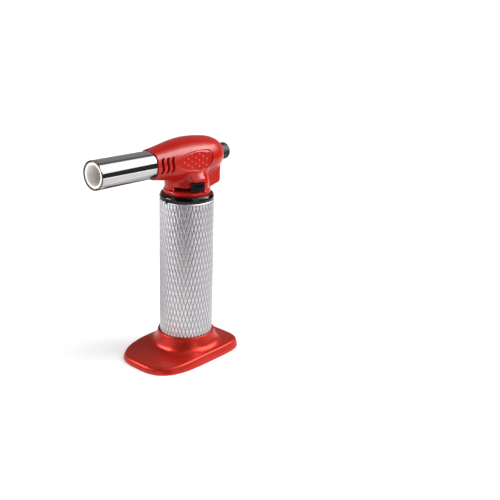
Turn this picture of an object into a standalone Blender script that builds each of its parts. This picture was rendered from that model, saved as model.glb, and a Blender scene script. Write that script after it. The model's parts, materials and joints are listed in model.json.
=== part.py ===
"""A table-top butane torch: a knurled gas handle in a cast-look stand, a clam-shell head with a
piezo igniter, a lift-type outlet valve, and a long burner nozzle with a ceramic liner.

Frame: +Z up, nozzle towards -Y, flame lever on the +X side. The origin is at floor level, under
the middle of the torch's outer box. Lengths below are millimetres and MM turns them into metres.
"""

import math

import bmesh
import bpy
from mathutils import Matrix, Vector

MM = 0.001
GAP = 0.3  # clearance between pieces that touch

# Overall layout, measured from the handle's axis (x = y = 0) and the floor (z = 0)
HANDLE_Y = 19.9  # how far behind the box's middle the handle's axis stands
HANDLE_R = 17.5
HANDLE_WALL = 0.8
HANDLE_BOTTOM = 5.3
HANDLE_TOP = 106.0
BARREL_Z = 132.2  # height of the burner's and the igniter's common axis
MOUTH_Y = -74.6
SHELL_FRONT_Y = -33.2
SHELL_WALL = 1.7
SPLIT = 0.15  # half of the parting gap between the two head shells

# Stand. Its outline is two halves of a superellipse that meet where it is widest.
STAND_HALF = 26.4
STAND_WIDEST_Y = -8.0
STAND_FRONT = (36.3, 3.0)  # reach in front of the widest place, and the superellipse's power
STAND_BACK = (39.3, 5.5)
STAND_ANGLES = [math.tau * k / 56 for k in range(56)]
STAND_RIM_FRONT = 4.9
STAND_RIM_BACK = 6.3
STAND_COLLAR_R = 18.9
STAND_COLLAR_TOP = 15.5
STAND_WALL = 1.8
STAND_PORT_R = 12.0
LEDGE_TOP = 5.0

# Tank and its lid
TANK_R = HANDLE_R - HANDLE_WALL - GAP
TANK_WALL = 1.4
TANK_BOTTOM = 6.2
TANK_TOP = 98.0
LID_FLANGE_TOP = 101.0
LID_BOSS_R = 9.5
LID_BOSS_TOP = 112.3
LID_GROOVE = (106.0, 109.0, 8.0)  # bottom, top and radius of the groove that holds the head

# Neck, ring and lever
NECK_R = 15.0
NECK_BOTTOM = 103.5
FLANGE_TOP = 113.0
WAIST_R = 13.3
LEVER_ANGLE = 70.0  # degrees from the front towards +X
LEVER_HALF_WIDTH = 15.0
LEVER_IN_R = 13.75
LEVER_OUT_R = 16.6
LEVER_Z = (113.6, 119.2)
SLOT_ANGLES = (8.0, 84.0)
SLOT_Z = (113.05, 115.5)

# Burner
NOZZLE_R = 8.7
NOZZLE_WALL = 0.5
NOZZLE_BACK_Y = -31.0
LINER_R = 7.9
LINER_BORE_R = 5.9
LINER_BACK_Y = -57.0
TUBE_R = 5.6
TUBE_BORE_R = 5.1
TUBE_Y = (-54.0, -30.0)
ELECTRODE_R = 6.95  # distance of the electrode below the burner's axis

# Igniter button
BUTTON_R = 5.5
BUTTON_END_Y = 34.8
BUTTON_FLANGE_R = 6.4
BUTTON_FLANGE_Y = (22.0, 23.4)
REAR_HOLE_R = BUTTON_R + GAP

# Gas release rocker
ROCKER_PIVOT = (9.0, 120.5)  # y and z of its pin
ROCKER_PIN_R = 0.9
SCREW_PLACES = (  # y and z of each shell screw, and how deep along X its head sits
    (17.8, 118.6, -6.4), (-8.5, 118.6, -7.2), (8.0, 141.4, -6.0),
)
SCREW_R = 1.0
SCREW_HEAD_R = 1.8
SCREW_HEAD_HEIGHT = 1.1
SCREW_CROSS = (2.2, 0.5, 0.6)  # length, width and depth of the driver's cross
BOSS_R = 2.6

# Barrel of the head: distance along Y and radius
BARREL = (
    (SHELL_FRONT_Y, 9.5), (-28.0, 10.3), (-22.0, 11.2), (-14.0, 12.6), (-6.0, 13.5), (0.0, 13.7),
    (6.0, 13.4), (12.0, 12.8), (17.0, 12.0), (21.0, 10.7), (24.0, 9.3), (26.0, 7.9), (26.6, 7.1),
)

# Fan of the three cooling slots on each side of the barrel
VENT_Y = (-29.2, -25.6, -22.0)
VENT_HEIGHT = 10.0
VENT_WIDTH = 1.1

MATERIALS = {  # base colour, metallic, roughness
    "red_plastic": ((0.58, 0.02, 0.01), 0.0, 0.25),
    "red_satin": ((0.42, 0.025, 0.015), 0.3, 0.35),
    "knurled_aluminium": ((0.62, 0.61, 0.62), 0.7, 0.4),
    "black_plastic": ((0.012, 0.012, 0.013), 0.0, 0.3),
    "polished_steel": ((0.75, 0.74, 0.73), 1.0, 0.08),
    "plain_steel": ((0.5, 0.5, 0.5), 1.0, 0.35),
    "brass": ((0.6, 0.42, 0.16), 1.0, 0.3),
    "ceramic": ((0.85, 0.83, 0.8), 0.0, 0.6),
    "rubber": ((0.02, 0.02, 0.02), 0.0, 0.7),
    "clear_nylon": ((0.7, 0.7, 0.66), 0.0, 0.4),
    "felt": ((0.75, 0.72, 0.62), 0.0, 0.95),
}


# ---------------------------------------------------------------- helpers

def material(name):
    """The named Principled material, made once."""
    found = bpy.data.materials.get(name)
    if found:
        return found
    colour, metallic, roughness = MATERIALS[name]
    made = bpy.data.materials.new(name)
    made.use_nodes = True
    shader = made.node_tree.nodes["Principled BSDF"]
    shader.inputs["Base Color"].default_value = (*colour, 1.0)
    shader.inputs["Metallic"].default_value = metallic
    shader.inputs["Roughness"].default_value = roughness
    return made


def mesh_object(name, bm, look=None):
    """An object from a bmesh in millimetres, scaled to metres, normals out, smooth where round."""
    bmesh.ops.recalc_face_normals(bm, faces=bm.faces[:])
    bmesh.ops.scale(bm, vec=(MM, MM, MM), verts=bm.verts[:])
    mesh = bpy.data.meshes.new(name)
    bm.to_mesh(mesh)
    bm.free()
    mesh.shade_smooth()
    mesh.set_sharp_from_angle(angle=math.radians(35))
    made = bpy.data.objects.new(name, mesh)
    bpy.context.scene.collection.objects.link(made)
    if look:
        mesh.materials.append(material(look))
    return made


def bridge_rings(bm, rings, closed):
    """Quads between rings of vertices; a ring of one vertex is a pole; closed joins last to first."""
    pairs = list(zip(rings, rings[1:]))
    if closed:
        pairs.append((rings[-1], rings[0]))
    for low, high in pairs:
        count = max(len(low), len(high))
        for i in range(count):
            j = (i + 1) % count
            corners = [low[i % len(low)], low[j % len(low)], high[j % len(high)], high[i % len(high)]]
            unique = list(dict.fromkeys(corners))
            if len(unique) > 2:
                bm.faces.new(unique)


AXIS_TURNS = {
    "Z": Matrix.Identity(3),
    "Y": Matrix(((1, 0, 0), (0, 0, 1), (0, -1, 0))),  # the profile's height runs along +Y
    "X": Matrix(((0, 0, 1), (0, 1, 0), (-1, 0, 0))),  # the profile's height runs along +X
}


def turned(name, profile, look=None, axis="Z", at=(0, 0, 0), sides=24):
    """A turned piece. profile lists (radius, height) along the axis; it closes on itself, unless
    it starts and ends on the axis with radius 0."""
    bm = bmesh.new()
    rings = []
    for radius, height in profile:
        count = 1 if radius == 0 else sides
        ring = []
        for i in range(count):
            angle = 2 * math.pi * i / sides
            local = Vector((radius * math.cos(angle), radius * math.sin(angle), height))
            ring.append(bm.verts.new(AXIS_TURNS[axis] @ local + Vector(at)))
        rings.append(ring)
    solid = profile[0][0] == 0 and profile[-1][0] == 0
    bridge_rings(bm, rings, closed=not solid)
    return mesh_object(name, bm, look)


def tube(name, outer, inner, low, high, look=None, axis="Z", at=(0, 0, 0), sides=24):
    """A plain tube between two heights."""
    profile = [(outer, low), (outer, high), (inner, high), (inner, low)]
    return turned(name, profile, look, axis, at, sides)


def rod(name, radius, low, high, look=None, axis="Z", at=(0, 0, 0), sides=20):
    """A plain round bar between two heights."""
    profile = [(0, low), (radius, low), (radius, high), (0, high)]
    return turned(name, profile, look, axis, at, sides)


def ring_seal(name, radius, thickness, height, look, axis="Z", at=(0, 0, 0)):
    """An O-ring, round in section."""
    profile = [
        (radius + thickness * math.cos(t), height + thickness * math.sin(t))
        for t in (2 * math.pi * k / 6 for k in range(6))
    ]
    return turned(name, profile, look, axis, at, sides=24)


def box(name, low, high, look=None):
    """A block between two corners."""
    bm = bmesh.new()
    bmesh.ops.create_cube(bm, size=1.0)
    for vert in bm.verts:
        vert.co = Vector([low[k] if vert.co[k] < 0 else high[k] for k in range(3)])
    return mesh_object(name, bm, look)


def side_prism(name, outline, half_width, look=None, x_mid=0.0):
    """A prism across X from an outline of (y, z) points."""
    bm = bmesh.new()
    faces = [
        [bm.verts.new((x_mid + x, y, z)) for y, z in outline] for x in (-half_width, half_width)
    ]
    bm.faces.new(faces[0])
    bm.faces.new(faces[1])
    bridge_rings(bm, faces, closed=False)
    return mesh_object(name, bm, look)


def arc_block(name, radii, degrees, heights, look=None, steps=6):
    """A block bent round the handle's axis; degrees run from the front (-Y) towards +X."""
    bm = bmesh.new()
    rings = []
    for k in range(steps + 1):
        angle = math.radians(degrees[0] + (degrees[1] - degrees[0]) * k / steps)
        out = Vector((math.sin(angle), -math.cos(angle), 0))
        corners = [(radii[0], heights[0]), (radii[1], heights[0]), (radii[1], heights[1]),
                   (radii[0], heights[1])]
        rings.append([bm.verts.new(out * r + Vector((0, 0, z))) for r, z in corners])
    bm.faces.new(rings[0])
    bm.faces.new(rings[-1])
    bridge_rings(bm, rings, closed=False)
    return mesh_object(name, bm, look)


def smooth_route(points, steps=6):
    """Points of a Catmull-Rom curve through the given points."""
    places = [Vector(p) for p in points]
    places = [2 * places[0] - places[1], *places, 2 * places[-1] - places[-2]]
    route = []
    for a, b, c, d in zip(places, places[1:], places[2:], places[3:]):
        for k in range(steps):
            t = k / steps
            route.append(0.5 * (2 * b + (c - a) * t + (2 * a - 5 * b + 4 * c - d) * t**2
                                + (3 * b - a - 3 * c + d) * t**3))
    route.append(places[-2])
    return route


def swept(name, points, radius, look, bore=0.0, sides=10):
    """A round bar or, with a bore, a hose along a route of points."""
    bm = bmesh.new()
    side = Vector((1, 0, 0))
    outer, inner = [], []
    for k, point in enumerate(points):
        along = (points[min(k + 1, len(points) - 1)] - points[max(k - 1, 0)]).normalized()
        side = (side - along * side.dot(along)).normalized()
        other = along.cross(side)
        for rings, size in ((outer, radius), (inner, bore)):
            rings.append([
                bm.verts.new(point + size * (side * math.cos(t) + other * math.sin(t)))
                for t in (2 * math.pi * i / sides for i in range(sides))
            ] if size else [])
    if bore:
        bridge_rings(bm, outer + inner[::-1], closed=True)
    else:
        bridge_rings(bm, outer, closed=False)
        bm.faces.new(outer[0])
        bm.faces.new(outer[-1])
    return mesh_object(name, bm, look)


def coil_spring(name, radius, wire, low, high, turns, look, axis="Z", at=(0, 0, 0)):
    """A compression spring as a bar swept along a helix."""
    steps = 9
    count = turns * steps
    points = []
    for k in range(count + 1):
        angle = 2 * math.pi * k / steps
        height = low + wire + (high - low - 2 * wire) * k / count
        local = Vector((radius * math.cos(angle), radius * math.sin(angle), height))
        points.append(AXIS_TURNS[axis] @ local + Vector(at))
    return swept(name, points, wire, look, sides=4)


def shaped(target, operation, *tools, solver="EXACT"):
    """Applies a Boolean of each tool to the target, and removes the tools."""
    for tool in tools:
        step = target.modifiers.new("shape", "BOOLEAN")
        step.operation = operation
        step.solver = solver
        step.object = tool
        bpy.context.view_layer.update()
        graph = bpy.context.evaluated_depsgraph_get()
        mesh = bpy.data.meshes.new_from_object(target.evaluated_get(graph), depsgraph=graph)
        target.modifiers.clear()
        target.data = mesh
        bpy.data.objects.remove(tool)
    target.data.shade_smooth()
    target.data.set_sharp_from_angle(angle=math.radians(35))
    return target


# ---------------------------------------------------------------- stand

def stand_outline(inset):
    """Points round the stand, moved in by inset, one in each direction from the handle's axis."""
    points = []
    for angle in STAND_ANGLES:
        near, far = 0.0, 2 * STAND_BACK[0]
        for _ in range(30):
            middle = (near + far) / 2
            x, y = middle * math.cos(angle), middle * math.sin(angle)
            reach, power = STAND_FRONT if y < STAND_WIDEST_Y else STAND_BACK
            across = abs(x) / (STAND_HALF - inset)
            along = abs(y - STAND_WIDEST_Y) / (reach - inset)
            near, far = (middle, far) if across**power + along**power < 1 else (near, middle)
        points.append((x, y))
    return points


def rim_height(y):
    """The rim is lower at the front than along the sides and the back."""
    share = min(1.0, max(0.0, (y + 45.0) / 35.0))
    return STAND_RIM_FRONT + (STAND_RIM_BACK - STAND_RIM_FRONT) * share


def make_stand():
    """A moulded shell: rim, sloping top, bell-shaped collar, pocket for the handle, open below."""
    bm = bmesh.new()

    def from_outline(inset, height):
        places = [(x, y, height(y)) for x, y in stand_outline(inset)]
        return [bm.verts.new(p) for p in places]

    def circle(radius, height):
        return [bm.verts.new((radius * math.cos(a), radius * math.sin(a), height))
                for a in STAND_ANGLES]

    def between(inset, radius, share, height):
        ring = []
        for (x, y), a in zip(stand_outline(inset), STAND_ANGLES):
            cx, cy = radius * math.cos(a), radius * math.sin(a)
            ring.append(bm.verts.new((x + (cx - x) * share, y + (cy - y) * share, height(y))))
        return ring

    pocket = HANDLE_R + GAP
    floor_low = LEDGE_TOP - STAND_WALL
    rings = [
        from_outline(0.4, lambda y: 0.0),
        from_outline(0.0, lambda y: 0.5),
        from_outline(0.8, lambda y: rim_height(y) - 0.7),
        from_outline(1.4, rim_height),
        between(1.4, 24.0, 0.5, lambda y: rim_height(y) + 0.6),
        circle(23.4, 7.9),
        circle(21.4, 9.4),
        circle(20.0, 11.6),
        circle(19.2, 13.8),
        circle(STAND_COLLAR_R, 15.1),
        circle(STAND_COLLAR_R - 0.4, STAND_COLLAR_TOP),
        circle(pocket, STAND_COLLAR_TOP - 0.2),
        circle(pocket, LEDGE_TOP),
        circle(STAND_PORT_R, LEDGE_TOP),
        circle(STAND_PORT_R, floor_low),
        circle(pocket + 1.5, floor_low),
        circle(pocket + 1.6, 6.2),
        between(2.6, 24.0, 0.5, lambda y: rim_height(y) - 1.1),
        from_outline(2.8, lambda y: rim_height(y) - 1.8),
        from_outline(2.2, lambda y: 0.0),
    ]
    bridge_rings(bm, rings, closed=True)
    return mesh_object("stand", bm, "red_satin")


# ---------------------------------------------------------------- handle and tank

def make_handle():
    """The knurled sleeve with its key notch, the tank, the lid and the black ring."""
    sleeve = tube("handle_sleeve", HANDLE_R, HANDLE_R - HANDLE_WALL, HANDLE_BOTTOM, HANDLE_TOP,
                  "knurled_aluminium", sides=48)
    notch = box("notch", (-0.9, -HANDLE_R - 1, HANDLE_TOP - 1.8), (0.9, -HANDLE_R + 2, HANDLE_TOP + 1))
    shaped(sleeve, "DIFFERENCE", notch)

    bore = TANK_R - TANK_WALL
    turned("fuel_tank", [
        (4.3, TANK_BOTTOM), (TANK_R - 1.0, TANK_BOTTOM), (TANK_R, TANK_BOTTOM + 1.0),
        (TANK_R, TANK_TOP), (bore, TANK_TOP), (bore, TANK_BOTTOM + 2.6),
        (bore - 0.8, TANK_BOTTOM + 1.8), (4.3, TANK_BOTTOM + 1.8),
    ], "clear_nylon", sides=32)

    low, high, groove_r = LID_GROOVE
    turned("tank_lid", [
        (4.8, 93.0), (bore - 0.4, 93.0), (bore - 0.4, 94.6), (bore - 2.0, 94.6),
        (bore - 2.0, 96.6), (bore - 0.4, 96.6), (bore - 0.4, TANK_TOP + GAP),
        (TANK_R, TANK_TOP + GAP), (TANK_R, LID_FLANGE_TOP), (LID_BOSS_R, LID_FLANGE_TOP),
        (LID_BOSS_R, low), (groove_r, low), (groove_r, high), (LID_BOSS_R, high),
        (LID_BOSS_R, LID_BOSS_TOP), (4.8, LID_BOSS_TOP),
    ], "black_plastic", sides=24)
    ring_seal("lid_seal", bore - 1.0, 0.68, 95.6, "rubber")

    ring = turned("collar_ring", [
        (15.4, 102.0), (HANDLE_R - HANDLE_WALL - GAP, 102.0), (HANDLE_R - HANDLE_WALL - GAP, 106.3),
        (17.0, 106.3), (17.4, 107.0), (17.5, 108.1), (17.2, 109.2), (16.5, 110.0), (15.9, 110.2),
        (15.4, 109.8),
    ], "black_plastic", sides=36)
    key = box("key", (-0.55, -HANDLE_R + 0.05, HANDLE_TOP - 1.3), (0.55, -16.0, HANDLE_TOP + 0.6))
    shaped(ring, "UNION", key)


def make_fill_valve():
    """The filling valve in the tank's floor: body, washer, sprung stem."""
    turned("fill_valve_body", [
        (1.5, 3.6), (5.5, 3.6), (5.5, 4.45), (4.0, 4.45), (4.0, 14.6), (0.6, 14.6), (0.6, 13.4),
        (1.9, 13.4), (1.9, 7.4), (1.5, 6.9),
    ], "brass", sides=20)
    ring_seal("fill_valve_seal", 4.9, 0.5, 5.3, "rubber")
    turned("fill_valve_stem", [
        (0, 2.9), (0.8, 2.9), (1.1, 3.3), (1.1, 8.0), (1.6, 8.0), (1.6, 9.2), (0.6, 9.2),
        (0.6, 10.6), (0, 10.6),
    ], "brass", sides=20)
    coil_spring("fill_valve_spring", 1.25, 0.22, 9.5, 13.1, 4, "plain_steel")


def make_outlet_valve():
    """The lift valve in the lid: body, stem with a lifting flange, spring, seals and wick."""
    turned("outlet_valve_body", [
        (0.8, 92.0), (4.5, 92.0), (4.5, 103.0), (4.0, 103.4), (4.0, 116.4), (1.6, 116.4),
        (1.6, 110.0), (3.2, 110.0), (3.2, 96.7), (0.8, 96.7),
    ], "brass", sides=20)
    turned("outlet_valve_stem", [
        (0, 98.0), (2.9, 98.0), (2.9, 100.4), (1.3, 100.4), (1.3, 120.8), (3.2, 120.8),
        (3.2, 121.7), (1.1, 121.7), (1.1, 124.6), (0.6, 125.0), (0, 125.0),
    ], "brass", sides=20)
    rod("outlet_valve_seal", 2.8, 97.0, 97.7, "rubber")
    coil_spring("outlet_valve_spring", 2.45, 0.3, 100.7, 109.7, 5, "plain_steel")
    rod("gas_wick", 1.8, 18.0, 91.6, "felt", sides=16)


def make_gas_lever():
    """The flame lever: a ring round the valve, an arm through the slot, and the finger block."""
    lever = tube("gas_lever", 6.8, 4.3, 113.4, 115.0, "black_plastic")
    half_arm = 6.0  # degrees
    arm = arc_block("arm", (6.3, LEVER_IN_R + 0.6),
                    (LEVER_ANGLE - half_arm, LEVER_ANGLE + half_arm), (113.42, 114.98), steps=3)
    finger = arc_block("finger", (LEVER_IN_R, LEVER_OUT_R),
                       (LEVER_ANGLE - LEVER_HALF_WIDTH, LEVER_ANGLE + LEVER_HALF_WIDTH), LEVER_Z)
    return shaped(lever, "UNION", arm, finger)


# ---------------------------------------------------------------- head shells

def barrel_radius(y):
    """The barrel's outer radius at a distance along its axis."""
    for (y0, r0), (y1, r1) in zip(BARREL, BARREL[1:]):
        if y <= y1:
            return r0 + (r1 - r0) * (y - y0) / (y1 - y0)
    return BARREL[-1][1]


def barrel_solid(name, inset, start, end, bores=None):
    """The egg-shaped barrel as a solid between two ends, smaller by inset. bores, (y, radius) at
    the front and at the back, carries it on as a round bar to each of those places."""
    places = [start] + [y for y, _ in BARREL if start < y < end] + [end]
    profile = [(barrel_radius(y) - inset, y) for y in places]
    if bores:
        (front_y, front_r), (back_y, back_r) = bores
        profile = [(front_r, front_y), (front_r, start - 0.2), *profile, (back_r, end),
                   (back_r, back_y)]
    profile = [(0, profile[0][1]), *profile, (0, profile[-1][1])]
    return turned(name, profile, axis="Y", at=(0, 0, BARREL_Z), sides=28)


def neck_solid(name):
    """The neck with the flange that sits on the black ring, and the waist above it."""
    return turned(name, [
        (0, NECK_BOTTOM), (NECK_R - 0.2, NECK_BOTTOM), (NECK_R, NECK_BOTTOM + 0.4),
        (NECK_R, 110.6), (15.15, 111.2), (15.15, 112.4), (14.7, FLANGE_TOP),
        (WAIST_R, FLANGE_TOP + 0.02), (WAIST_R, 119.0), (12.6, 121.5), (12.2, 127.0), (0, 127.0),
    ], sides=32)


def neck_hollow(name):
    """The space inside the neck, with the rib that grips the lid's groove left standing."""
    low, high, groove_r = LID_GROOVE
    inner = NECK_R - 1.8
    grip = groove_r + 0.4
    return turned(name, [
        (0, NECK_BOTTOM - 1), (inner, NECK_BOTTOM - 1), (inner, low + GAP), (grip, low + GAP),
        (grip, high - GAP), (inner, high - GAP), (inner, 112.0), (11.6, 112.9), (11.6, 119.5),
        (10.6, 121.5), (10.2, 128.0), (0, 128.0),
    ], sides=24)


def block_outline(inset):
    """Side view of the block under the back of the barrel."""
    back = 23.0 - inset
    return [(4.0, 112.2 + inset), (13.0, 112.3 + inset), (21.6, 114.0 + inset),
            (back, 115.2 + inset), (back - 0.1, 124.6), (16.0, 128.4), (4.0, 128.4)]


def hood_pieces():
    """The raised edge above and behind the flame lever."""
    top = arc_block("hood_top", (12.6, 16.3), (52.0, 91.0), (119.6, 120.8))
    side = arc_block("hood_side", (12.6, 16.2), (88.0, 91.2), (112.6, 120.4), steps=2)
    return top, side


def make_head_shells():
    """Two mirror-like shells, made whole, hollowed, pierced and then split down the middle."""
    outer = barrel_solid("outer", 0.0, SHELL_FRONT_Y, BARREL[-1][0])
    block = side_prism("block", block_outline(0.0), 8.0)
    shaped(outer, "UNION", neck_solid("neck"), block, *hood_pieces())

    hollow = barrel_solid("hollow", SHELL_WALL, -22.0, 23.9,
                          ((-40.0, NOZZLE_R + GAP), (30.0, REAR_HOLE_R)))
    block_in = side_prism("block_in", block_outline(SHELL_WALL), 8.0 - SHELL_WALL)
    shaped(hollow, "UNION", neck_hollow("neck_in"), block_in)
    for y, z, _ in SCREW_PLACES:
        shaped(hollow, "DIFFERENCE", rod("boss", BOSS_R, -20, 20, axis="X", at=(0, y, z), sides=12))
    y, z = ROCKER_PIVOT
    for x in (-1, 1):
        low, high = sorted((4.2 * x, 20.0 * x))
        boss = rod("pin_boss", 2.1, low, high, axis="X", at=(0, y, z), sides=12)
        shaped(hollow, "DIFFERENCE", boss)

    slot = arc_block("slot", (8.0, 15.6), SLOT_ANGLES, SLOT_Z, steps=8)
    shaped(outer, "DIFFERENCE", hollow, slot, solver="MANIFOLD")
    for y in VENT_Y:
        low = (-20.0, y - VENT_WIDTH / 2, BARREL_Z - VENT_HEIGHT / 2)
        high = (20.0, y + VENT_WIDTH / 2, BARREL_Z + VENT_HEIGHT / 2)
        shaped(outer, "DIFFERENCE", box("vent", low, high), solver="MANIFOLD")
    for y, z, depth in SCREW_PLACES:
        shank = rod("shank", SCREW_R + GAP, -20, 6.0, axis="X", at=(0, y, z), sides=10)
        seat = rod("seat", SCREW_HEAD_R + GAP, -20, depth, axis="X", at=(0, y, z), sides=14)
        shaped(outer, "DIFFERENCE", shank, seat, solver="MANIFOLD")
    y, z = ROCKER_PIVOT
    pin_hole = rod("pin_hole", ROCKER_PIN_R + GAP, -7.6, 7.6, axis="X", at=(0, y, z), sides=12)
    shaped(outer, "DIFFERENCE", pin_hole, solver="MANIFOLD")

    for name, side in (("head_shell_left", -1), ("head_shell_right", 1)):
        half = bpy.data.objects.new(name, outer.data.copy())
        bpy.context.scene.collection.objects.link(half)
        reach = sorted((SPLIT * side, 40.0 * side))
        keep = box("keep", (reach[0], -60, 90), (reach[1], 60, 170))
        shaped(half, "INTERSECT", keep, solver="MANIFOLD")
        half.data.materials.clear()
        half.data.materials.append(material("red_plastic"))
    bpy.data.objects.remove(outer)

    for number, place in enumerate(SCREW_PLACES, 1):
        make_screw(f"shell_screw_{number}", *place)


def make_screw(name, y, z, depth):
    """A shell screw along X: its shank reaches into the far shell, its head has a driver's cross."""
    under = depth - GAP
    end = under - SCREW_HEAD_HEIGHT
    screw = turned(name, [
        (0, end), (SCREW_HEAD_R - 0.3, end), (SCREW_HEAD_R, end + 0.4),
        (SCREW_HEAD_R, under), (SCREW_R, under), (SCREW_R, 4.8), (0.4, 5.6), (0, 5.6),
    ], "plain_steel", axis="X", at=(0, y, z), sides=12)
    length, width, deep = SCREW_CROSS
    for along_y, along_z in ((length, width), (width, length)):
        bar = box("cross", (end - 1.0, y - along_y / 2, z - along_z / 2),
                  (end + deep, y + along_y / 2, z + along_z / 2))
        shaped(screw, "DIFFERENCE", bar)


# ---------------------------------------------------------------- burner

def make_burner():
    """Everything on the burner's axis, from the mouth back to the hose barb."""
    on_axis = {"axis": "Y", "at": (0, 0, BARREL_Z)}
    bore = NOZZLE_R - NOZZLE_WALL
    turned("nozzle_sleeve", [
        (NOZZLE_R - 0.15, MOUTH_Y), (NOZZLE_R, MOUTH_Y + 0.2), (NOZZLE_R, NOZZLE_BACK_Y),
        (bore, NOZZLE_BACK_Y), (bore, MOUTH_Y + 0.2), (bore + 0.1, MOUTH_Y),
    ], "polished_steel", sides=40, **on_axis)
    turned("ceramic_liner", [
        (LINER_R - 0.5, MOUTH_Y + 0.3), (LINER_R, MOUTH_Y + 0.8), (LINER_R, LINER_BACK_Y),
        (LINER_BORE_R, LINER_BACK_Y), (LINER_BORE_R, MOUTH_Y + 0.7), (LINER_BORE_R + 0.4, MOUTH_Y + 0.3),
    ], "ceramic", sides=40, **on_axis)
    tube("burner_tube", TUBE_R, TUBE_BORE_R, *TUBE_Y, "plain_steel", sides=24, **on_axis)

    holder = rod("flame_holder", TUBE_BORE_R - GAP, -53.6, -51.8, "plain_steel", **on_axis)
    for k in range(7):
        reach = 0.0 if k == 6 else 3.0
        x = reach * math.cos(math.pi * k / 3)
        z = BARREL_Z + reach * math.sin(math.pi * k / 3)
        hole = rod("hole", 0.75, -60, -45, axis="Y", at=(x, 0, z), sides=6)
        shaped(holder, "DIFFERENCE", hole)

    mount = tube("burner_mount", bore - GAP, TUBE_R + GAP, -34.0, -31.0, "plain_steel", **on_axis)
    electrode_z = BARREL_Z - ELECTRODE_R
    gate = rod("gate", 1.3, -40, -20, axis="Y", at=(0, 0, electrode_z), sides=12)
    shaped(mount, "DIFFERENCE", gate)

    venturi = turned("mixing_tube", [
        (4.8, -36.0), (4.8, -29.6), (3.9, -29.2), (3.9, -13.0), (3.5, -13.0), (3.5, -16.5),
        (1.9, -17.2), (1.9, -29.0), (3.2, -36.0),
    ], "brass", sides=20, **on_axis)
    for k in range(2):
        hole = rod("air", 0.9, -8, 8, axis="XZ"[k], at=(0, -19.0, BARREL_Z), sides=10)
        shaped(venturi, "DIFFERENCE", hole)
    turned("jet_holder", [
        (2.3, -16.0), (3.2, -16.0), (3.2, -12.6), (4.2, -12.4), (4.2, -9.6), (2.4, -9.4),
        (2.4, -8.2), (1.1, -8.0), (1.1, -5.2), (0.5, -5.0), (0.5, -14.0), (2.3, -14.4),
    ], "brass", sides=18, **on_axis)
    tube("gas_jet", 2.0, 0.35, -15.9, -14.8, "plain_steel", sides=16, **on_axis)

    tube("electrode_insulator", 1.0, 0.75, -54.6, -27.0, "ceramic", axis="Y",
         at=(0, 0, electrode_z), sides=12)
    rise = electrode_z + 2.6
    swept("spark_electrode", smooth_route([
        (0, -26.4, electrode_z), (0, -40.0, electrode_z), (0, -53.0, electrode_z),
        (0, -54.8, electrode_z + 0.1),
        (0, -56.4, electrode_z + 1.6), (0, -58.4, rise), (0, -62.0, rise),
    ], steps=4), 0.42, "plain_steel", sides=8)


def make_gas_hose():
    """The soft hose from the valve stem's barb to the jet holder's barb."""
    route = smooth_route([
        (0, 0, 123.0), (0, 0, 125.6), (0, -0.5, 128.3), (0, -2.3, 131.0), (0, -4.8, BARREL_Z),
        (0, -7.6, BARREL_Z),
    ], steps=3)
    swept("gas_hose", route, 2.0, "rubber", bore=1.45, sides=8)


# ---------------------------------------------------------------- igniter and gas release

def make_igniter():
    """The piezo block with its plunger, spring and lead, and the button that works them."""
    half = 4.5
    case = box("piezo_case", (-half, 3.0, BARREL_Z - half), (half, 16.5, BARREL_Z + half),
               "black_plastic")
    bore = rod("bore", 3.3, 5.9, 20.0, axis="Y", at=(0, 0, BARREL_Z), sides=24)
    shaped(case, "DIFFERENCE", bore)
    rod("piezo_plunger", 3.0, 14.5, 29.6, "clear_nylon", axis="Y", at=(0, 0, BARREL_Z))
    coil_spring("piezo_spring", 2.4, 0.28, 6.2, 14.2, 5, "plain_steel", axis="Y",
                at=(0, 0, BARREL_Z))
    swept("ignition_lead", smooth_route([
        (0, -25.9, BARREL_Z - ELECTRODE_R), (0.4, -21.0, BARREL_Z - ELECTRODE_R - 0.4),
        (2.6, -13.5, BARREL_Z - 6.6), (4.6, -6.0, BARREL_Z - 5.0), (4.6, -1.5, BARREL_Z - 2.4),
        (3.0, 2.7, BARREL_Z - 1.0),
    ], steps=5), 0.75, "rubber", sides=8)

    flange_low, flange_high = BUTTON_FLANGE_Y
    button = turned("ignition_button", [
        (0, 30.0), (3.35, 30.0), (3.35, flange_low), (BUTTON_FLANGE_R, flange_low),
        (BUTTON_FLANGE_R, flange_high), (BUTTON_R, flange_high), (BUTTON_R, BUTTON_END_Y - 1.0),
        (BUTTON_R - 0.3, BUTTON_END_Y - 0.3), (BUTTON_R - 1.0, BUTTON_END_Y), (0, BUTTON_END_Y),
    ], "black_plastic", axis="Y", at=(0, 0, BARREL_Z), sides=24)
    ramp = side_prism("ramp", [
        (12.4, 124.65), (19.5, 123.9), (23.0, 124.8), (23.0, 127.1), (12.4, 127.1),
    ], 1.8)
    shaped(button, "UNION", ramp)
    origin_to(button, (0, BUTTON_END_Y, BARREL_Z))


def make_release_rocker():
    """The rocker that lifts the valve stem when the button's ramp pushes its tail down."""
    y, z = ROCKER_PIVOT
    rocker = rod("release_rocker", 1.9, -3.8, 3.8, "plain_steel", axis="X", at=(0, y, z), sides=16)
    tail = side_prism("tail", [
        (y, z - 1.6), (y + 2.2, z - 1.4), (14.8, 122.4), (14.8, 123.9), (14.3, 124.2),
        (13.4, 124.2), (12.6, 123.6), (y + 1.0, z + 1.5), (y, z + 1.6),
    ], 1.9)
    shaped(rocker, "UNION", tail)
    for x in (-2.8, 2.8):
        tine = side_prism("tine", [(y, 119.1), (y, 120.9), (2.5, 120.5), (-1.8, 120.35), (-2.0, 119.3)],
                          0.7, x_mid=x)
        shaped(rocker, "UNION", tine)
    pin_hole = rod("pin_hole", ROCKER_PIN_R + GAP, -8, 8, axis="X", at=(0, y, z), sides=16)
    shaped(rocker, "DIFFERENCE", pin_hole)
    origin_to(rocker, (0, y, z))
    rod("rocker_pin", ROCKER_PIN_R, -7.2, 7.2, "plain_steel", axis="X", at=(0, y, z), sides=16)


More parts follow.
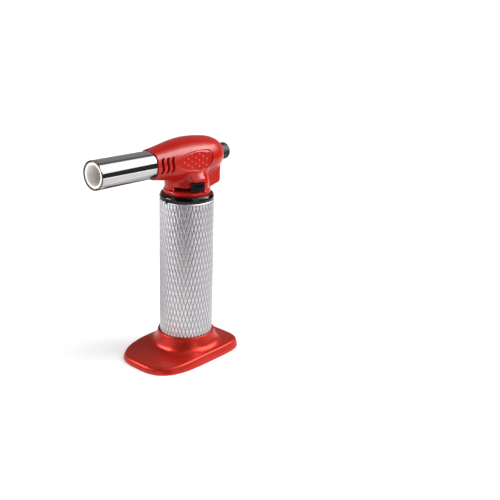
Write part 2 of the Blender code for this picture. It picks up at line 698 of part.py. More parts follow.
def origin_to(thing, place):
    """Moves an object's origin to a place, in millimetres, and leaves its shape where it is."""
    shift = Vector(place) * MM
    thing.data.transform(Matrix.Translation(-shift))
    thing.location = shift


def main():
    for thing in list(bpy.data.objects):
        bpy.data.objects.remove(thing)
    make_stand()
    make_handle()
    make_fill_valve()
    make_outlet_valve()
    make_gas_lever()
    make_head_shells()
    make_burner()
    make_gas_hose()
    make_igniter()
    make_release_rocker()
    axis = bpy.data.objects.new("handle_axis", None)
    for thing in list(bpy.context.scene.objects):
        thing.parent = axis
    bpy.context.scene.collection.objects.link(axis)
    axis.location = (0, HANDLE_Y * MM, 0)


main()
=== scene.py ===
"""Looks of the table-top butane torch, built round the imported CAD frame.

Everything is modelled in millimetres measured from the handle's axis and the floor, and mesh_object
turns that into metres in the frame: +Z up, nozzle towards -Y, flame lever on the +X side.
"""

import json
import math

import bmesh
import bpy
import numpy as np
from mathutils import Matrix, Vector


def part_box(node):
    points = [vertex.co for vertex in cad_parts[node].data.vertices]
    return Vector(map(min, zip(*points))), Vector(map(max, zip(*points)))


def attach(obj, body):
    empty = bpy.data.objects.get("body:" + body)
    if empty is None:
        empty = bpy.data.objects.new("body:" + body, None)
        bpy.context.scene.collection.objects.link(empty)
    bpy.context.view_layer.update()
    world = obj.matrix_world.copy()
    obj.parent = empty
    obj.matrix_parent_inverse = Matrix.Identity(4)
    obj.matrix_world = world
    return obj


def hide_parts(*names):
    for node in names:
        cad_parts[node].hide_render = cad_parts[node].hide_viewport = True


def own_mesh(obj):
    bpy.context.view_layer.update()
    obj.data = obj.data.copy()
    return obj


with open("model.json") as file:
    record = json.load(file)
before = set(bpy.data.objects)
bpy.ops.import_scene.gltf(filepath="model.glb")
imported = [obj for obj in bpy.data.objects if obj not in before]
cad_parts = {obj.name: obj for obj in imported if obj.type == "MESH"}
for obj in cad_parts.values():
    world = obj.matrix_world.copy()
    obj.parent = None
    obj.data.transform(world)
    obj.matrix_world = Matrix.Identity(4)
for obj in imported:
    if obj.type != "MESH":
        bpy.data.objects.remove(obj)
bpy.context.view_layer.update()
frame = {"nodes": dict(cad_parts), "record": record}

SCENE = bpy.context.scene
MM = 0.001


# ---------------- places read from the frame

AXIS_Y = sum(corner.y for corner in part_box("handle_sleeve")) / 2
AXIS_FOOT = np.array([0.0, AXIS_Y, 0.0])  # where the handle's axis meets the floor, in metres


def box_mm(node):
    """A node's corners in millimetres from the handle's axis, as two numpy vectors."""
    low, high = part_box(node)
    return (np.array(low) - AXIS_FOOT) / MM, (np.array(high) - AXIS_FOOT) / MM


HANDLE_LOW, HANDLE_HIGH = box_mm("handle_sleeve")
RING_LOW, RING_HIGH = box_mm("collar_ring")
NOZZLE_LOW, NOZZLE_HIGH = box_mm("nozzle_sleeve")
LINER_LOW, LINER_HIGH = box_mm("ceramic_liner")
SHELL_LOW, SHELL_HIGH = box_mm("head_shell_right")
STAND_LOW, STAND_HIGH = box_mm("stand")
TUBE_LOW, TUBE_HIGH = box_mm("burner_tube")
PIN_LOW, PIN_HIGH = box_mm("rocker_pin")
BUTTON_END = box_mm("ignition_button")[1][1]
LEVER_TOP = box_mm("gas_lever")[1][2]

HANDLE_R = HANDLE_HIGH[0]
BARREL_Z = (NOZZLE_LOW[2] + NOZZLE_HIGH[2]) / 2
NOZZLE_R = NOZZLE_HIGH[0]
MOUTH_Y = NOZZLE_LOW[1]
SHARP_ANGLE = math.radians(38)


# ---------------- meshes

def linked(name, data):
    """A new object in the scene, with the given mesh, light or camera."""
    made = bpy.data.objects.new(name, data)
    SCENE.collection.objects.link(made)
    return made


def mesh_object(name, points, faces, finish, normals=None):
    """A piece from points in millimetres."""
    mesh = bpy.data.meshes.new(name)
    mesh.from_pydata((np.asarray(points, float) * MM + AXIS_FOOT).tolist(), [], faces)
    mesh.validate()
    mesh.shade_smooth()
    if normals is not None:
        mesh.normals_split_custom_set_from_vertices(normals.tolist())
    else:
        mesh.set_sharp_from_angle(angle=SHARP_ANGLE)
    mesh.materials.append(finish)
    return linked(name, mesh)


def outward(piece, merge_mm=0.0):
    """Turns a piece's faces outwards, after joining the points closer than merge_mm."""
    mesh = piece.data
    bm = bmesh.new()
    bm.from_mesh(mesh)
    if merge_mm:
        bmesh.ops.remove_doubles(bm, verts=bm.verts[:], dist=merge_mm * MM)
    bmesh.ops.recalc_face_normals(bm, faces=bm.faces[:])
    bm.to_mesh(mesh)
    bm.free()
    mesh.shade_smooth()
    mesh.set_sharp_from_angle(angle=SHARP_ANGLE)


def finish_piece(piece, body, node):
    """Rides on a body and hides the CAD node that it stands for."""
    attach(piece, body)
    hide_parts(node)


def grid_faces(rows, columns, wrap_rows=False, start=0):
    """Quads over vertices stored row by row, where each row is a closed ring."""
    faces = []
    for i in range(rows if wrap_rows else rows - 1):
        here, above = start + i * columns, start + (i + 1) % rows * columns
        for j in range(columns):
            after = (j + 1) % columns
            faces.append((here + j, here + after, above + after, above + j))
    return faces


def bar_faces(rows, columns, start=0):
    """The same with a flat end on the first row and on the last."""
    first = range(start, start + columns)
    last = range(start + (rows - 1) * columns, start + rows * columns)
    return [*grid_faces(rows, columns, start=start), tuple(first)[::-1], tuple(last)]


def turned_points(profile, sides, axis="Z", centre=(0, 0, 0), ripple=None):
    """Rings of points for a profile of (radius, height), counter-clockwise seen with the axis up.
    ripple(radius, height, angle) may change the radius. Along Y the height runs along +Y."""
    points = []
    for radius, height in profile:
        for k in range(sides):
            angle = 2 * math.pi * k / sides
            r = radius if ripple is None else ripple(radius, height, angle)
            u, v = r * math.cos(angle), r * math.sin(angle)
            local = (u, v, height) if axis == "Z" else (v, height, u)
            points.append([a + b for a, b in zip(local, centre)])
    return points


def rounded(corners, radius, steps=4):
    """A closed profile with its corners rounded. A corner may carry its own radius as a third
    number."""
    places = []
    count = len(corners)
    for i in range(count):
        before, here, after = corners[i - 1], corners[i], corners[(i + 1) % count]
        size = here[2] if len(here) > 2 else radius
        p = Vector(here[:2])
        a, b = Vector(before[:2]) - p, Vector(after[:2]) - p
        reach = min(size, a.length * 0.45, b.length * 0.45)
        if reach < 1e-4:
            places.append(tuple(p))
            continue
        start, end = p + a.normalized() * reach, p + b.normalized() * reach
        for k in range(steps + 1):
            t = k / steps
            places.append(tuple((1 - t) ** 2 * start + 2 * t * (1 - t) * p + t * t * end))
    return places


def swept(name, route, radius, finish, sides):
    """A round bar along a route of points in millimetres."""
    places = [Vector(p) for p in route]
    side = Vector((1, 0, 0))
    points = []
    for k, place in enumerate(places):
        along = (places[min(k + 1, len(places) - 1)] - places[max(k - 1, 0)]).normalized()
        side = (side - along * side.dot(along)).normalized()
        other = along.cross(side)
        for i in range(sides):
            t = 2 * math.pi * i / sides
            points.append(place + radius * (side * math.cos(t) + other * math.sin(t)))
    return mesh_object(name, points, bar_faces(len(places), sides), finish)


def smooth_curve(points, steps, closed=False):
    """Points of a Catmull-Rom curve through the given points, as an array."""
    places = [np.array(p, float) for p in points]
    if closed:
        places = [places[-1], *places, places[0], places[1]]
    else:
        places = [2 * places[0] - places[1], *places, 2 * places[-1] - places[-2]]
    curve = []
    for a, b, c, d in zip(places, places[1:], places[2:], places[3:]):
        for k in range(steps):
            t = k / steps
            curve.append(0.5 * (2 * b + (c - a) * t + (2 * a - 5 * b + 4 * c - d) * t**2
                                + (3 * b - a - 3 * c + d) * t**3))
    if not closed:
        curve.append(places[-2])
    return np.array(curve)


# ---------------- materials

def material(name, colour, metallic=0.0, roughness=0.5, specular=0.5):
    """A Principled material."""
    made = bpy.data.materials.new(name)
    made.use_nodes = True
    shader = made.node_tree.nodes["Principled BSDF"]
    shader.inputs["Base Color"].default_value = (*colour, 1.0)
    shader.inputs["Metallic"].default_value = metallic
    shader.inputs["Roughness"].default_value = roughness
    shader.inputs["Specular IOR Level"].default_value = specular
    return made


class Nodes:
    """Short ways to add texture nodes to a material."""

    def __init__(self, made):
        self.tree = made.node_tree
        self.shader = self.tree.nodes["Principled BSDF"]
        self.places = self.tree.nodes.new("ShaderNodeTexCoord").outputs["Object"]

    def add(self, kind, **inputs):
        node = self.tree.nodes.new(kind)
        for key, value in inputs.items():
            socket = node.inputs[key.replace("_", " ")]
            if isinstance(value, bpy.types.NodeSocket):
                self.tree.links.new(value, socket)
            else:
                socket.default_value = value
        return node

    def stretched(self, x, y, z):
        """Object coordinates scaled per axis, for grain that runs one way."""
        return self.add("ShaderNodeMapping", Vector=self.places, Scale=(x, y, z)).outputs["Vector"]

    def noise(self, per_metre, detail=3.0, vector=None):
        node = self.add("ShaderNodeTexNoise", Vector=vector or self.places, Scale=per_metre,
                        Detail=detail)
        return node.outputs["Fac"]

    def span(self, value, low, high, to_low=0.0, to_high=1.0):
        """value remapped from low..high to to_low..to_high, held at the ends."""
        node = self.add("ShaderNodeMapRange", Value=value, From_Min=low, From_Max=high,
                        To_Min=to_low, To_Max=to_high)
        return node.outputs["Result"]

    def mix(self, fac, a, b):
        """A mix of a and b, each a colour or a socket; fac is a socket."""
        node = self.add("ShaderNodeMix", Factor=fac)
        node.data_type = "RGBA"
        for value, socket in zip((a, b), (s for s in node.inputs if s.type == "RGBA")):
            if isinstance(value, bpy.types.NodeSocket):
                self.tree.links.new(value, socket)
            else:
                socket.default_value = (*value, 1.0)
        return next(s for s in node.outputs if s.type == "RGBA")

    def axis(self, name):
        """One coordinate of the place, in metres."""
        split = self.add("ShaderNodeSeparateXYZ", Vector=self.places)
        return split.outputs[name]

    def colour(self, socket):
        self.tree.links.new(socket, self.shader.inputs["Base Color"])

    def roughness(self, value, low, high, start=0.3, end=0.7):
        """Roughness from low to high as a noise goes from start to end."""
        spread = self.span(value, start, end, low, high)
        self.tree.links.new(spread, self.shader.inputs["Roughness"])

    def bump(self, height, depth_mm):
        node = self.add("ShaderNodeBump", Height=height, Distance=depth_mm * MM)
        self.tree.links.new(node.outputs["Normal"], self.shader.inputs["Normal"])


def red_gloss():
    """Glossy red moulding: a slight orange peel, and faint worn patches."""
    made = material("red_gloss", (0.36, 0.005, 0.002), roughness=0.27, specular=0.38)
    n = Nodes(made)
    patches = n.noise(45.0, 4.0)
    n.colour(n.mix(n.span(patches, 0.35, 0.7), (0.345, 0.004, 0.001), (0.375, 0.006, 0.002)))
    n.roughness(n.noise(160.0, 5.0), 0.22, 0.28)
    n.bump(n.noise(900.0, 2.0), 0.004)
    return made


def red_satin():
    """Satin red of the stand: fine metallic flake under a soft sheen."""
    made = material("red_satin", (0.42, 0.014, 0.008), metallic=0.6, roughness=0.33)
    n = Nodes(made)
    flake = n.add("ShaderNodeTexVoronoi", Vector=n.places, Scale=2600.0).outputs["Color"]
    sparkle = n.add("ShaderNodeSeparateColor", Color=flake).outputs["Red"]
    base = n.mix(n.span(sparkle, 0.2, 1.0), (0.45, 0.014, 0.006), (0.57, 0.027, 0.013))
    wear = n.span(n.noise(70.0, 4.0), 0.62, 0.8, 0.0, 0.35)
    n.colour(n.mix(wear, base, (0.43, 0.030, 0.020)))
    n.roughness(n.noise(220.0, 4.0), 0.29, 0.37)
    n.bump(sparkle, 0.006)
    return made


def red_dot_highlight():
    """The grip's dots in pale red: a painted highlight that stands in for light catching the small
    domes.
    """
    made = material("red_dot_highlight", (0.66, 0.13, 0.10), roughness=0.4)
    n = Nodes(made)
    dot_highlight_mottle = n.noise(1500.0, 3.0)
    # Pale mottled red on the dots: painted highlight.
    n.colour(n.mix(n.span(dot_highlight_mottle, 0.35, 0.65), (0.56, 0.07, 0.05), (0.74, 0.20, 0.15)))
    n.roughness(dot_highlight_mottle, 0.32, 0.48)
    return made


def knurled_aluminium():
    """Silver-grey knurl: bright pads, and painted shade in the grooves, read from the mesh's own
    depth attribute.
    """
    made = material("knurled_aluminium", (0.78, 0.76, 0.78), metallic=0.92, roughness=0.36)
    n = Nodes(made)
    depth = n.tree.nodes.new("ShaderNodeAttribute")
    depth.attribute_name = "groove"
    pads = n.mix(n.noise(150.0, 4.0), (0.69, 0.67, 0.695), (0.77, 0.75, 0.775))
    # The dark grey in the grooves is painted shade, laid on by the groove depth.
    n.colour(n.mix(n.span(depth.outputs["Fac"], 0.05, 0.8), pads, (0.27, 0.25, 0.27)))
    n.roughness(n.noise(1200.0, 2.0), 0.33, 0.42)
    n.bump(n.noise(3500.0, 2.0), 0.008)
    return made


def black_gloss():
    """Polished black moulding of the ring and the flame lever."""
    made = material("black_gloss", (0.002, 0.002, 0.003), roughness=0.1, specular=0.3)
    n = Nodes(made)
    n.roughness(n.noise(200.0, 4.0), 0.07, 0.14)
    n.bump(n.noise(1400.0, 2.0), 0.004)
    return made


def black_grained():
    """Black moulding with a spark-eroded grain."""
    made = material("black_grained", (0.005, 0.005, 0.006), roughness=0.34, specular=0.36)
    n = Nodes(made)
    grain = n.noise(2600.0, 3.0)
    n.colour(n.mix(grain, (0.003, 0.003, 0.004), (0.008, 0.008, 0.009)))
    n.roughness(grain, 0.28, 0.42)
    n.bump(grain, 0.02)
    return made


def chrome():
    """Mirror-polished tube, with hairline marks along it and a faint heat tint by the mouth."""
    made = material("polished_steel", (0.71, 0.685, 0.69), metallic=1.0, roughness=0.05)
    n = Nodes(made)
    hairlines = n.noise(900.0, 3.0, n.stretched(1.0, 0.02, 1.0))
    mouth = AXIS_Y + MOUTH_Y * MM
    heat = n.span(n.axis("Y"), mouth + 0.001, mouth + 0.011, 0.35, 0.0)
    tinted = n.mix(heat, (0.71, 0.685, 0.69), (0.68, 0.61, 0.53))
    # Darker at the very lip of the mouth.
    dark_lip = n.span(n.axis("Y"), mouth + 0.00025, mouth + 0.00055, 1.0, 0.0)
    n.colour(n.mix(dark_lip, tinted, (0.03, 0.026, 0.026)))
    n.roughness(hairlines, 0.035, 0.085, 0.35, 0.75)
    n.bump(n.noise(120.0, 2.0), 0.004)
    return made


def metal(name, colour, low, high):
    """Machined metal with turning marks and a dull bloom."""
    made = material(name, colour, metallic=1.0, roughness=(low + high) / 2)
    n = Nodes(made)
    marks = n.noise(1500.0, 3.0, n.stretched(1.0, 1.0, 0.05))
    bloom = n.span(n.noise(130.0, 4.0), 0.4, 0.75, 0.0, 0.5)
    n.colour(n.mix(bloom, colour, tuple(0.62 * c for c in colour)))
    n.roughness(marks, low, high)
    n.bump(marks, 0.008)
    return made


def ceramic():
    """Unglazed white ceramic, turning browner and darker deeper in the bore: partly flame stain,
    partly painted shade.
    """
    made = material("ceramic", (0.86, 0.84, 0.81), roughness=0.62)
    n = Nodes(made)
    mouth = AXIS_Y + MOUTH_Y * MM
    # Deeper in the bore the colour turns browner and darker: partly flame stain, partly painted
    # shade.
    deep = n.span(n.axis("Y"), mouth + 0.0008, mouth + 0.012)
    stain_and_shade = n.mix(n.noise(260.0, 4.0), (0.58, 0.46, 0.39), (0.74, 0.63, 0.55))
    clean = n.mix(n.noise(600.0, 3.0), (0.88, 0.86, 0.84), (0.95, 0.94, 0.92))
    n.colour(n.mix(deep, clean, stain_and_shade))
    n.roughness(n.noise(900.0, 3.0), 0.55, 0.75)
    n.bump(n.noise(1800.0, 4.0), 0.02)
    return made


def soft(name, dark, light, low, high, per_metre, depth_mm):
    """Rubber, nylon or felt: a mottled colour with a fine bump."""
    made = material(name, dark, roughness=(low + high) / 2)
    n = Nodes(made)
    mottle = n.noise(per_metre, 4.0)
    n.colour(n.mix(mottle, dark, light))
    n.roughness(mottle, low, high)
    n.bump(n.noise(per_metre * 2, 3.0), depth_mm)
    return made


RED_GLOSS = red_gloss()
RED_SATIN = red_satin()
RED_DOT_HIGHLIGHT = red_dot_highlight()
KNURL = knurled_aluminium()
BLACK_GLOSS = black_gloss()
BLACK_GRAINED = black_grained()
CHROME = chrome()
STEEL = metal("plain_steel", (0.52, 0.51, 0.50), 0.22, 0.4)
BRASS = metal("brass", (0.62, 0.43, 0.17), 0.2, 0.38)
CERAMIC = ceramic()
RUBBER = soft("rubber", (0.012, 0.012, 0.012), (0.03, 0.03, 0.03), 0.6, 0.8, 700.0, 0.02)
NYLON = soft("clear_nylon", (0.62, 0.62, 0.58), (0.74, 0.74, 0.70), 0.32, 0.45, 300.0, 0.01)
FELT = soft("felt", (0.62, 0.58, 0.48), (0.82, 0.79, 0.70), 0.9, 1.0, 2500.0, 0.12)

LOOKS = {
    "red_satin": RED_SATIN, "red_plastic": RED_GLOSS, "knurled_aluminium": KNURL,
    "black_plastic": BLACK_GRAINED, "polished_steel": CHROME, "plain_steel": STEEL,
    "brass": BRASS, "ceramic": CERAMIC, "rubber": RUBBER, "clear_nylon": NYLON, "felt": FELT,
}


def dress_frame():
    """Every CAD node gets the finish that its material slot names."""
    slots = {row["node"]: row["material_slot"] for row in frame["record"]["subparts"]}
    for name, node in frame["nodes"].items():
        node.data.materials.clear()
        node.data.materials.append(LOOKS[slots[name]])


# ---------------- head shells

CELL = 0.42  # size of the cells that the shells' surface is drawn from
FRONT_Y, BACK_Y = SHELL_LOW[1], SHELL_HIGH[1]
NECK_BOTTOM = SHELL_LOW[2]
WALL = 1.7
SPLIT_GAP = 0.07  # from the middle plane to each half

BARREL_SHAPE = smooth_curve([  # place along Y and radius
    (FRONT_Y, 9.35), (-28.0, 10.15), (-22.0, 11.15), (-14.0, 12.6), (-6.0, 13.5), (0.0, 13.65),
    (6.0, 13.35), (12.0, 12.7), (17.0, 11.9), (21.0, 10.65), (24.0, 9.15), (BACK_Y, 7.0),
], 12)
BARREL_SLOPE = np.gradient(BARREL_SHAPE[:, 1], BARREL_SHAPE[:, 0])
NOSE_LEAN = 1.7  # how far the barrel's front edge leans back at its foot
NOSE_HEIGHT = 9.0  # below the barrel's axis, where it leans most

NECK_R = 15.0  # at its root, inside the black ring
WAIST_R = 14.3
WAIST_SLIMMER = 1.0  # on the lever's side
WAIST_TAPER = 1.5  # towards the barrel
FLANGE_R = 15.15
FLANGE_TOP = RING_HIGH[2] + 2.9
FLANGE_Z = FLANGE_TOP - 1.45
FLANGE_HALF = 1.42

BLOCK_FOOT = 112.2  # the block under the barrel's rear: its underside, which rises backwards
BLOCK_RISE = 1.9
BLOCK_HALF = 8.0
BLOCK_BACK = 23.0

HOOD_R = 16.3  # outside of the hood over the lever and of the jamb beside it
HOOD_MIDDLE, HOOD_HALF = 66.0, 24.5  # degrees round the neck, as in the next ones
HOOD_TOP, HOOD_FOOT = 120.6, 118.0
HOOD_FADE = 6.0  # how far it sinks into the neck at its front
JAMB_MIDDLE, JAMB_HALF = 89.6, 1.6
JAMB_TOP = 121.3
POCKET_MIDDLE, POCKET_HALF = 69.5, 20.0
POCKET_R = 13.5
POCKET_Z, POCKET_HALF_HEIGHT = 116.2, 3.45
SLOT_MIDDLE, SLOT_HALF = 46.0, 38.0
SLOT_Z, SLOT_HALF_HEIGHT = 114.28, 1.22
SLOT_REACH = (8.0, 15.7)  # the radii that it is cut between

GRIP = smooth_curve([  # outline of the grip recess, Y and height above the barrel's axis
    (-20.2, 0.9), (-15.5, 4.0), (-9.2, 6.0), (-1.0, 6.5), (6.8, 5.9), (9.9, 3.6), (10.3, 0.4),
    (8.3, -3.6), (4.0, -5.6), (-4.7, -5.7), (-13.0, -4.2), (-18.6, -1.4),
], 6, closed=True)
GRIP_X = 11.95  # of the grip's flat, from the middle of the torch, at the handle's axis
GRIP_LEAN = 0.02  # how much further out it lies for each millimetre towards the button
GRIP_FLOOR = 6.0  # how near to the middle the grips are cut
DOT_COLUMNS = ((1, -13.9), (2, -10.7), (3, -7.6), (2, -4.4), (3, -1.2), (2, 1.9), (3, 5.1))
DOT_SPACING = 3.9
DOT_RISE = 0.5  # of the dots' middle above the barrel's axis
DOT_R, DOT_HEIGHT, DOT_ROOT = 0.48, 0.42, 0.3
VENT_PLACES = (-29.4, -25.7, -22.1)
VENT_HALF_HEIGHT, VENT_HALF_WIDTH = 4.8, 0.72
VENT_FLOOR = 4.0  # how near to the middle the vents are cut

HOLLOW_FRONT, HOLLOW_BACK = -22.2, 23.9
NECK_HOLLOW_TOP = 112.2  # of the round hollow below the barrel's own
BORE_END, BORE_GAP = -22.0, 0.12  # of the bore that holds the nozzle
REAR_BORE_START, REAR_BORE_R = 20.0, 5.85  # of the bore that the button slides in
CLIP_Z, CLIP_R = 107.5, 8.4  # the inward ledge that clips under the tank's lid
SCREW_NUMBERS = (1, 2, 3)
SCREWS = [tuple((a + b) / 2 for a, b in zip(*box_mm(f"shell_screw_{k}")))[1:]
          for k in SCREW_NUMBERS]
SCREW_SEATS = [box_mm(f"shell_screw_{k}")[0][0] for k in SCREW_NUMBERS]
SCREW_BOSS_R, SCREW_HEAD_R, SCREW_SHANK_R = 2.6, 2.1, 1.3
SCREW_HEAD_DEPTH, SCREW_END = 1.4, 6.0
ROCKER = tuple((PIN_LOW + PIN_HIGH)[1:] / 2)
PIN_BOSS_R, PIN_HOLE_R = 2.1, 1.2
PIN_BOSS_X, PIN_END_X = 4.2, 7.6


def smooth_min(a, b, blend):
    """The union of two fields, with the corner between them filled over the blend's width."""
    h = np.maximum(blend - np.abs(a - b), 0.0) / blend
    return np.minimum(a, b) - h * h * blend / 4


def smooth_max(a, b, blend):
    return -smooth_min(-a, -b, blend)


def outline_distance(y, z, outline):
    """Signed distance in the side view from an outline, negative inside."""
    shape = np.shape(y)
    near = (y > outline[:, 0].min() - 3) & (y < outline[:, 0].max() + 3)
    near &= (z > outline[:, 1].min() - 3) & (z < outline[:, 1].max() + 3)
    result = np.full(shape, 3.0)
    py, pz = y[near], z[near]
    best = np.full(py.shape, 9.0)
    inside = np.zeros(py.shape, bool)
    for a, b in zip(outline, np.roll(outline, -1, axis=0)):
        d = b - a
        t = np.clip(((py - a[0]) * d[0] + (pz - a[1]) * d[1]) / (d @ d), 0, 1)
        best = np.minimum(best, np.hypot(py - a[0] - t * d[0], pz - a[1] - t * d[1]))
        if d[1] != 0:
            crosses = (a[1] > pz) != (b[1] > pz)
            inside ^= crosses & (py < a[0] + d[0] * (pz - a[1]) / d[1])
    result[near] = np.where(inside, -best, best)
    return result


def barrel_field(x, y, z):
    """Distance from the turned barrel, without its two ends."""
    radius = np.interp(y, BARREL_SHAPE[:, 0], BARREL_SHAPE[:, 1])
    slope = np.interp(y, BARREL_SHAPE[:, 0], BARREL_SLOPE)
    return (np.hypot(x, z - BARREL_Z) - radius) / np.sqrt(1 + slope**2)


def ease(value, low, high):
    """A smooth step from 0 at low to 1 at high."""
    t = np.clip((value - low) / (high - low), 0, 1)
    return t * t * (3 - 2 * t)


def polar(x, y):
    """Distance from the handle's axis, and degrees round it from the front towards +X."""
    return np.hypot(x, y), np.degrees(np.arctan2(x, -y))


def sector(radius, degrees, middle, half):
    """How far a place lies outside a sector of the neck, given by its middle and half width."""
    return (np.abs(degrees - middle) - half) * np.pi / 180 * radius


def neck_field(z, radius, degrees):
    """The neck and its flange. It is slimmer on the lever's side and towards the barrel."""
    lever_side = ease(degrees, -14, 0) * (1 - ease(degrees, 93, 106))
    waist = WAIST_R - WAIST_SLIMMER * lever_side - WAIST_TAPER * ease(z, 117, 126)
    neck = np.maximum(np.maximum(radius - waist, z - BARREL_Z), FLANGE_TOP - 0.6 - z)
    flange = smooth_max(radius - FLANGE_R, np.abs(z - FLANGE_Z) - FLANGE_HALF, 1.3)
    root = np.maximum(radius - NECK_R, z - (FLANGE_TOP - 2.0))
    return np.maximum(smooth_min(np.minimum(neck, root), flange, 0.5), NECK_BOTTOM - z)


def block_field(x, y, z):
    """The block under the rear of the barrel, with rounded edges."""
    foot = BLOCK_FOOT + 0.1 * np.clip(y - 4, 0, 9) / 9 + BLOCK_RISE * ease(y, 12.5, 23.5)
    block = smooth_max(y - BLOCK_BACK, foot - z, 2.2)
    block = smooth_max(block, np.abs(x) - BLOCK_HALF, 1.4)
    return np.maximum(np.maximum(block, z - BARREL_Z), 2.0 - y)


def hood_field(z, radius, degrees):
    """The hood over the lever, highest and furthest out towards the jamb."""
    top = HOOD_TOP + 0.9 * ease(degrees, 52.0, 88.0) + 1.35 * np.clip(HOOD_R - radius, 0, 8)
    reach = HOOD_R - HOOD_FADE * (1 - ease(degrees, 38.0, 62.0))
    hood = smooth_max(radius - reach, sector(radius, degrees, HOOD_MIDDLE, HOOD_HALF), 0.8)
    return np.maximum(smooth_max(hood, z - top, 0.5), HOOD_FOOT - z)


def jamb_field(z, radius, degrees):
    """The upright bar that closes the lever's pocket on the button's side."""
    jamb = smooth_max(radius - HOOD_R, sector(radius, degrees, JAMB_MIDDLE, JAMB_HALF), 0.5)
    return np.maximum(smooth_max(jamb, z - JAMB_TOP, 0.5), FLANGE_TOP - 1.0 - z)


def outer_field(x, y, z):
    """The head's outside, with the lever's pocket, before anything else is cut from it."""
    barrel = barrel_field(x, y, z)
    lean = NOSE_LEAN * np.clip((BARREL_Z - z) / NOSE_HEIGHT, 0, 1) ** 2
    barrel = smooth_max(barrel, FRONT_Y + lean - y, 1.0)
    barrel = smooth_max(barrel, y - BACK_Y, 1.2)

    radius, degrees = polar(x, y)
    body = smooth_min(neck_field(z, radius, degrees), block_field(x, y, z), 1.6)
    soft = smooth_min(body, barrel, 3.4)
    crease = smooth_min(body, barrel, 0.9)
    soft_share = 1 - ease(y, 6.0, 13.0) * ease(np.abs(x), 3.0, 6.0)
    head = crease + (soft - crease) * soft_share
    head = smooth_min(head, hood_field(z, radius, degrees), 2.6)
    pocket = np.maximum(POCKET_R - radius, sector(radius, degrees, POCKET_MIDDLE, POCKET_HALF))
    pocket = np.maximum(pocket, np.abs(z - POCKET_Z) - POCKET_HALF_HEIGHT)
    head = smooth_max(head, -pocket, 0.3)
    return smooth_min(head, jamb_field(z, radius, degrees), 0.4)


def grip_flat(y):
    """How far from the middle the grip's flat lies."""
    return GRIP_X + GRIP_LEAN * y


def grip_step(y):
    """How far the grip lies below the barrel: it fades away towards the nozzle."""
    return 0.36 + 0.14 * ease(y, -18.0, -4.0)


def grip_field(shape, barrel, x, y, z):
    """The shape with a grip on each side: a flat let into the barrel, with a step round it."""
    inside = outline_distance(y, z - BARREL_Z, GRIP)
    below = np.minimum(grip_flat(y) - np.abs(x), -(barrel + grip_step(y)))
    cut = np.maximum(smooth_max(inside, below, 0.3), GRIP_FLOOR - np.abs(x))
    return smooth_max(shape, -cut, 0.32)


def hollow_field(outside, x, y, z):
    """The hollow inside, with the nozzle's bore, the button's bore and the neck's clip, and with
    bosses left standing for the screws and the rocker's pin."""
    wall_x = grip_flat(y) - 1.6 + 3.0 * (1 - ease(z, 118.0, 123.0))
    hollow = np.maximum(outside + WALL, HOLLOW_FRONT - y)
    hollow = np.maximum(np.maximum(hollow, y - HOLLOW_BACK), np.abs(x) - wall_x)
    across = np.hypot(x, z - BARREL_Z)
    bore = np.maximum(across - NOZZLE_R - BORE_GAP, y - BORE_END)
    rear = np.maximum(across - REAR_BORE_R, REAR_BORE_START - y)
    inner = np.where(np.abs(z - CLIP_Z) < 1.2, CLIP_R, NECK_R - 1.8)
    neck = np.maximum(np.hypot(x, y) - inner, z - NECK_HOLLOW_TOP)
    hollow = np.minimum(np.minimum(hollow, bore), np.minimum(rear, neck))
    for place_y, place_z in SCREWS:
        hollow = np.maximum(hollow, SCREW_BOSS_R - np.hypot(y - place_y, z - place_z))
    pin = np.hypot(y - ROCKER[0], z - ROCKER[1])
    return np.maximum(hollow, np.minimum(PIN_BOSS_R - pin, np.abs(x) - PIN_BOSS_X))


def vent_field(place, x, y, z):
    """One S-shaped cooling slot on each side, with round ends."""
    t = (z - BARREL_Z) / VENT_HALF_HEIGHT
    bend = 1.84 * t**3 - 1.04 * t
    past = np.maximum(np.abs(z - BARREL_Z) - VENT_HALF_HEIGHT + VENT_HALF_WIDTH, 0)
    vent = np.hypot(y - place - bend, past) - VENT_HALF_WIDTH
    return np.maximum(vent, VENT_FLOOR - np.abs(x))


def slot_field(z, radius, degrees):
    """The slot round the neck that the lever's arm swings in."""
    ends = sector(radius, degrees, SLOT_MIDDLE, SLOT_HALF)
    slot = np.maximum(np.abs(z - SLOT_Z) - SLOT_HALF_HEIGHT, ends)
    return np.maximum(smooth_max(slot, SLOT_REACH[0] - radius, 0.3), radius - SLOT_REACH[1])


def screw_field(place, seat_x, x, y, z):
    """The hole for one screw, from the left side: its head's seat and its shank."""
    off = np.hypot(y - place[0], z - place[1])
    seat = np.maximum(off - SCREW_HEAD_R, x - seat_x - SCREW_HEAD_DEPTH)
    return np.minimum(seat, np.maximum(off - SCREW_SHANK_R, x - SCREW_END))


def shell_field(x, y, z):
    """The whole head: outside, hollow, grips, vents, slot and screw seats."""
    outside = outer_field(x, y, z)
    shape = grip_field(outside, barrel_field(x, y, z), x, y, z)
    shape = smooth_max(shape, -hollow_field(outside, x, y, z), 0.3)
    for place in VENT_PLACES:
        shape = smooth_max(shape, -vent_field(place, x, y, z), 0.3)
    shape = smooth_max(shape, -slot_field(z, *polar(x, y)), 0.25)
    for place, seat_x in zip(SCREWS, SCREW_SEATS):
        shape = smooth_max(shape, -screw_field(place, seat_x, x, y, z), 0.2)
    pin = np.hypot(y - ROCKER[0], z - ROCKER[1])
    return np.maximum(shape, -np.maximum(pin - PIN_HOLE_R, np.abs(x) - PIN_END_X))


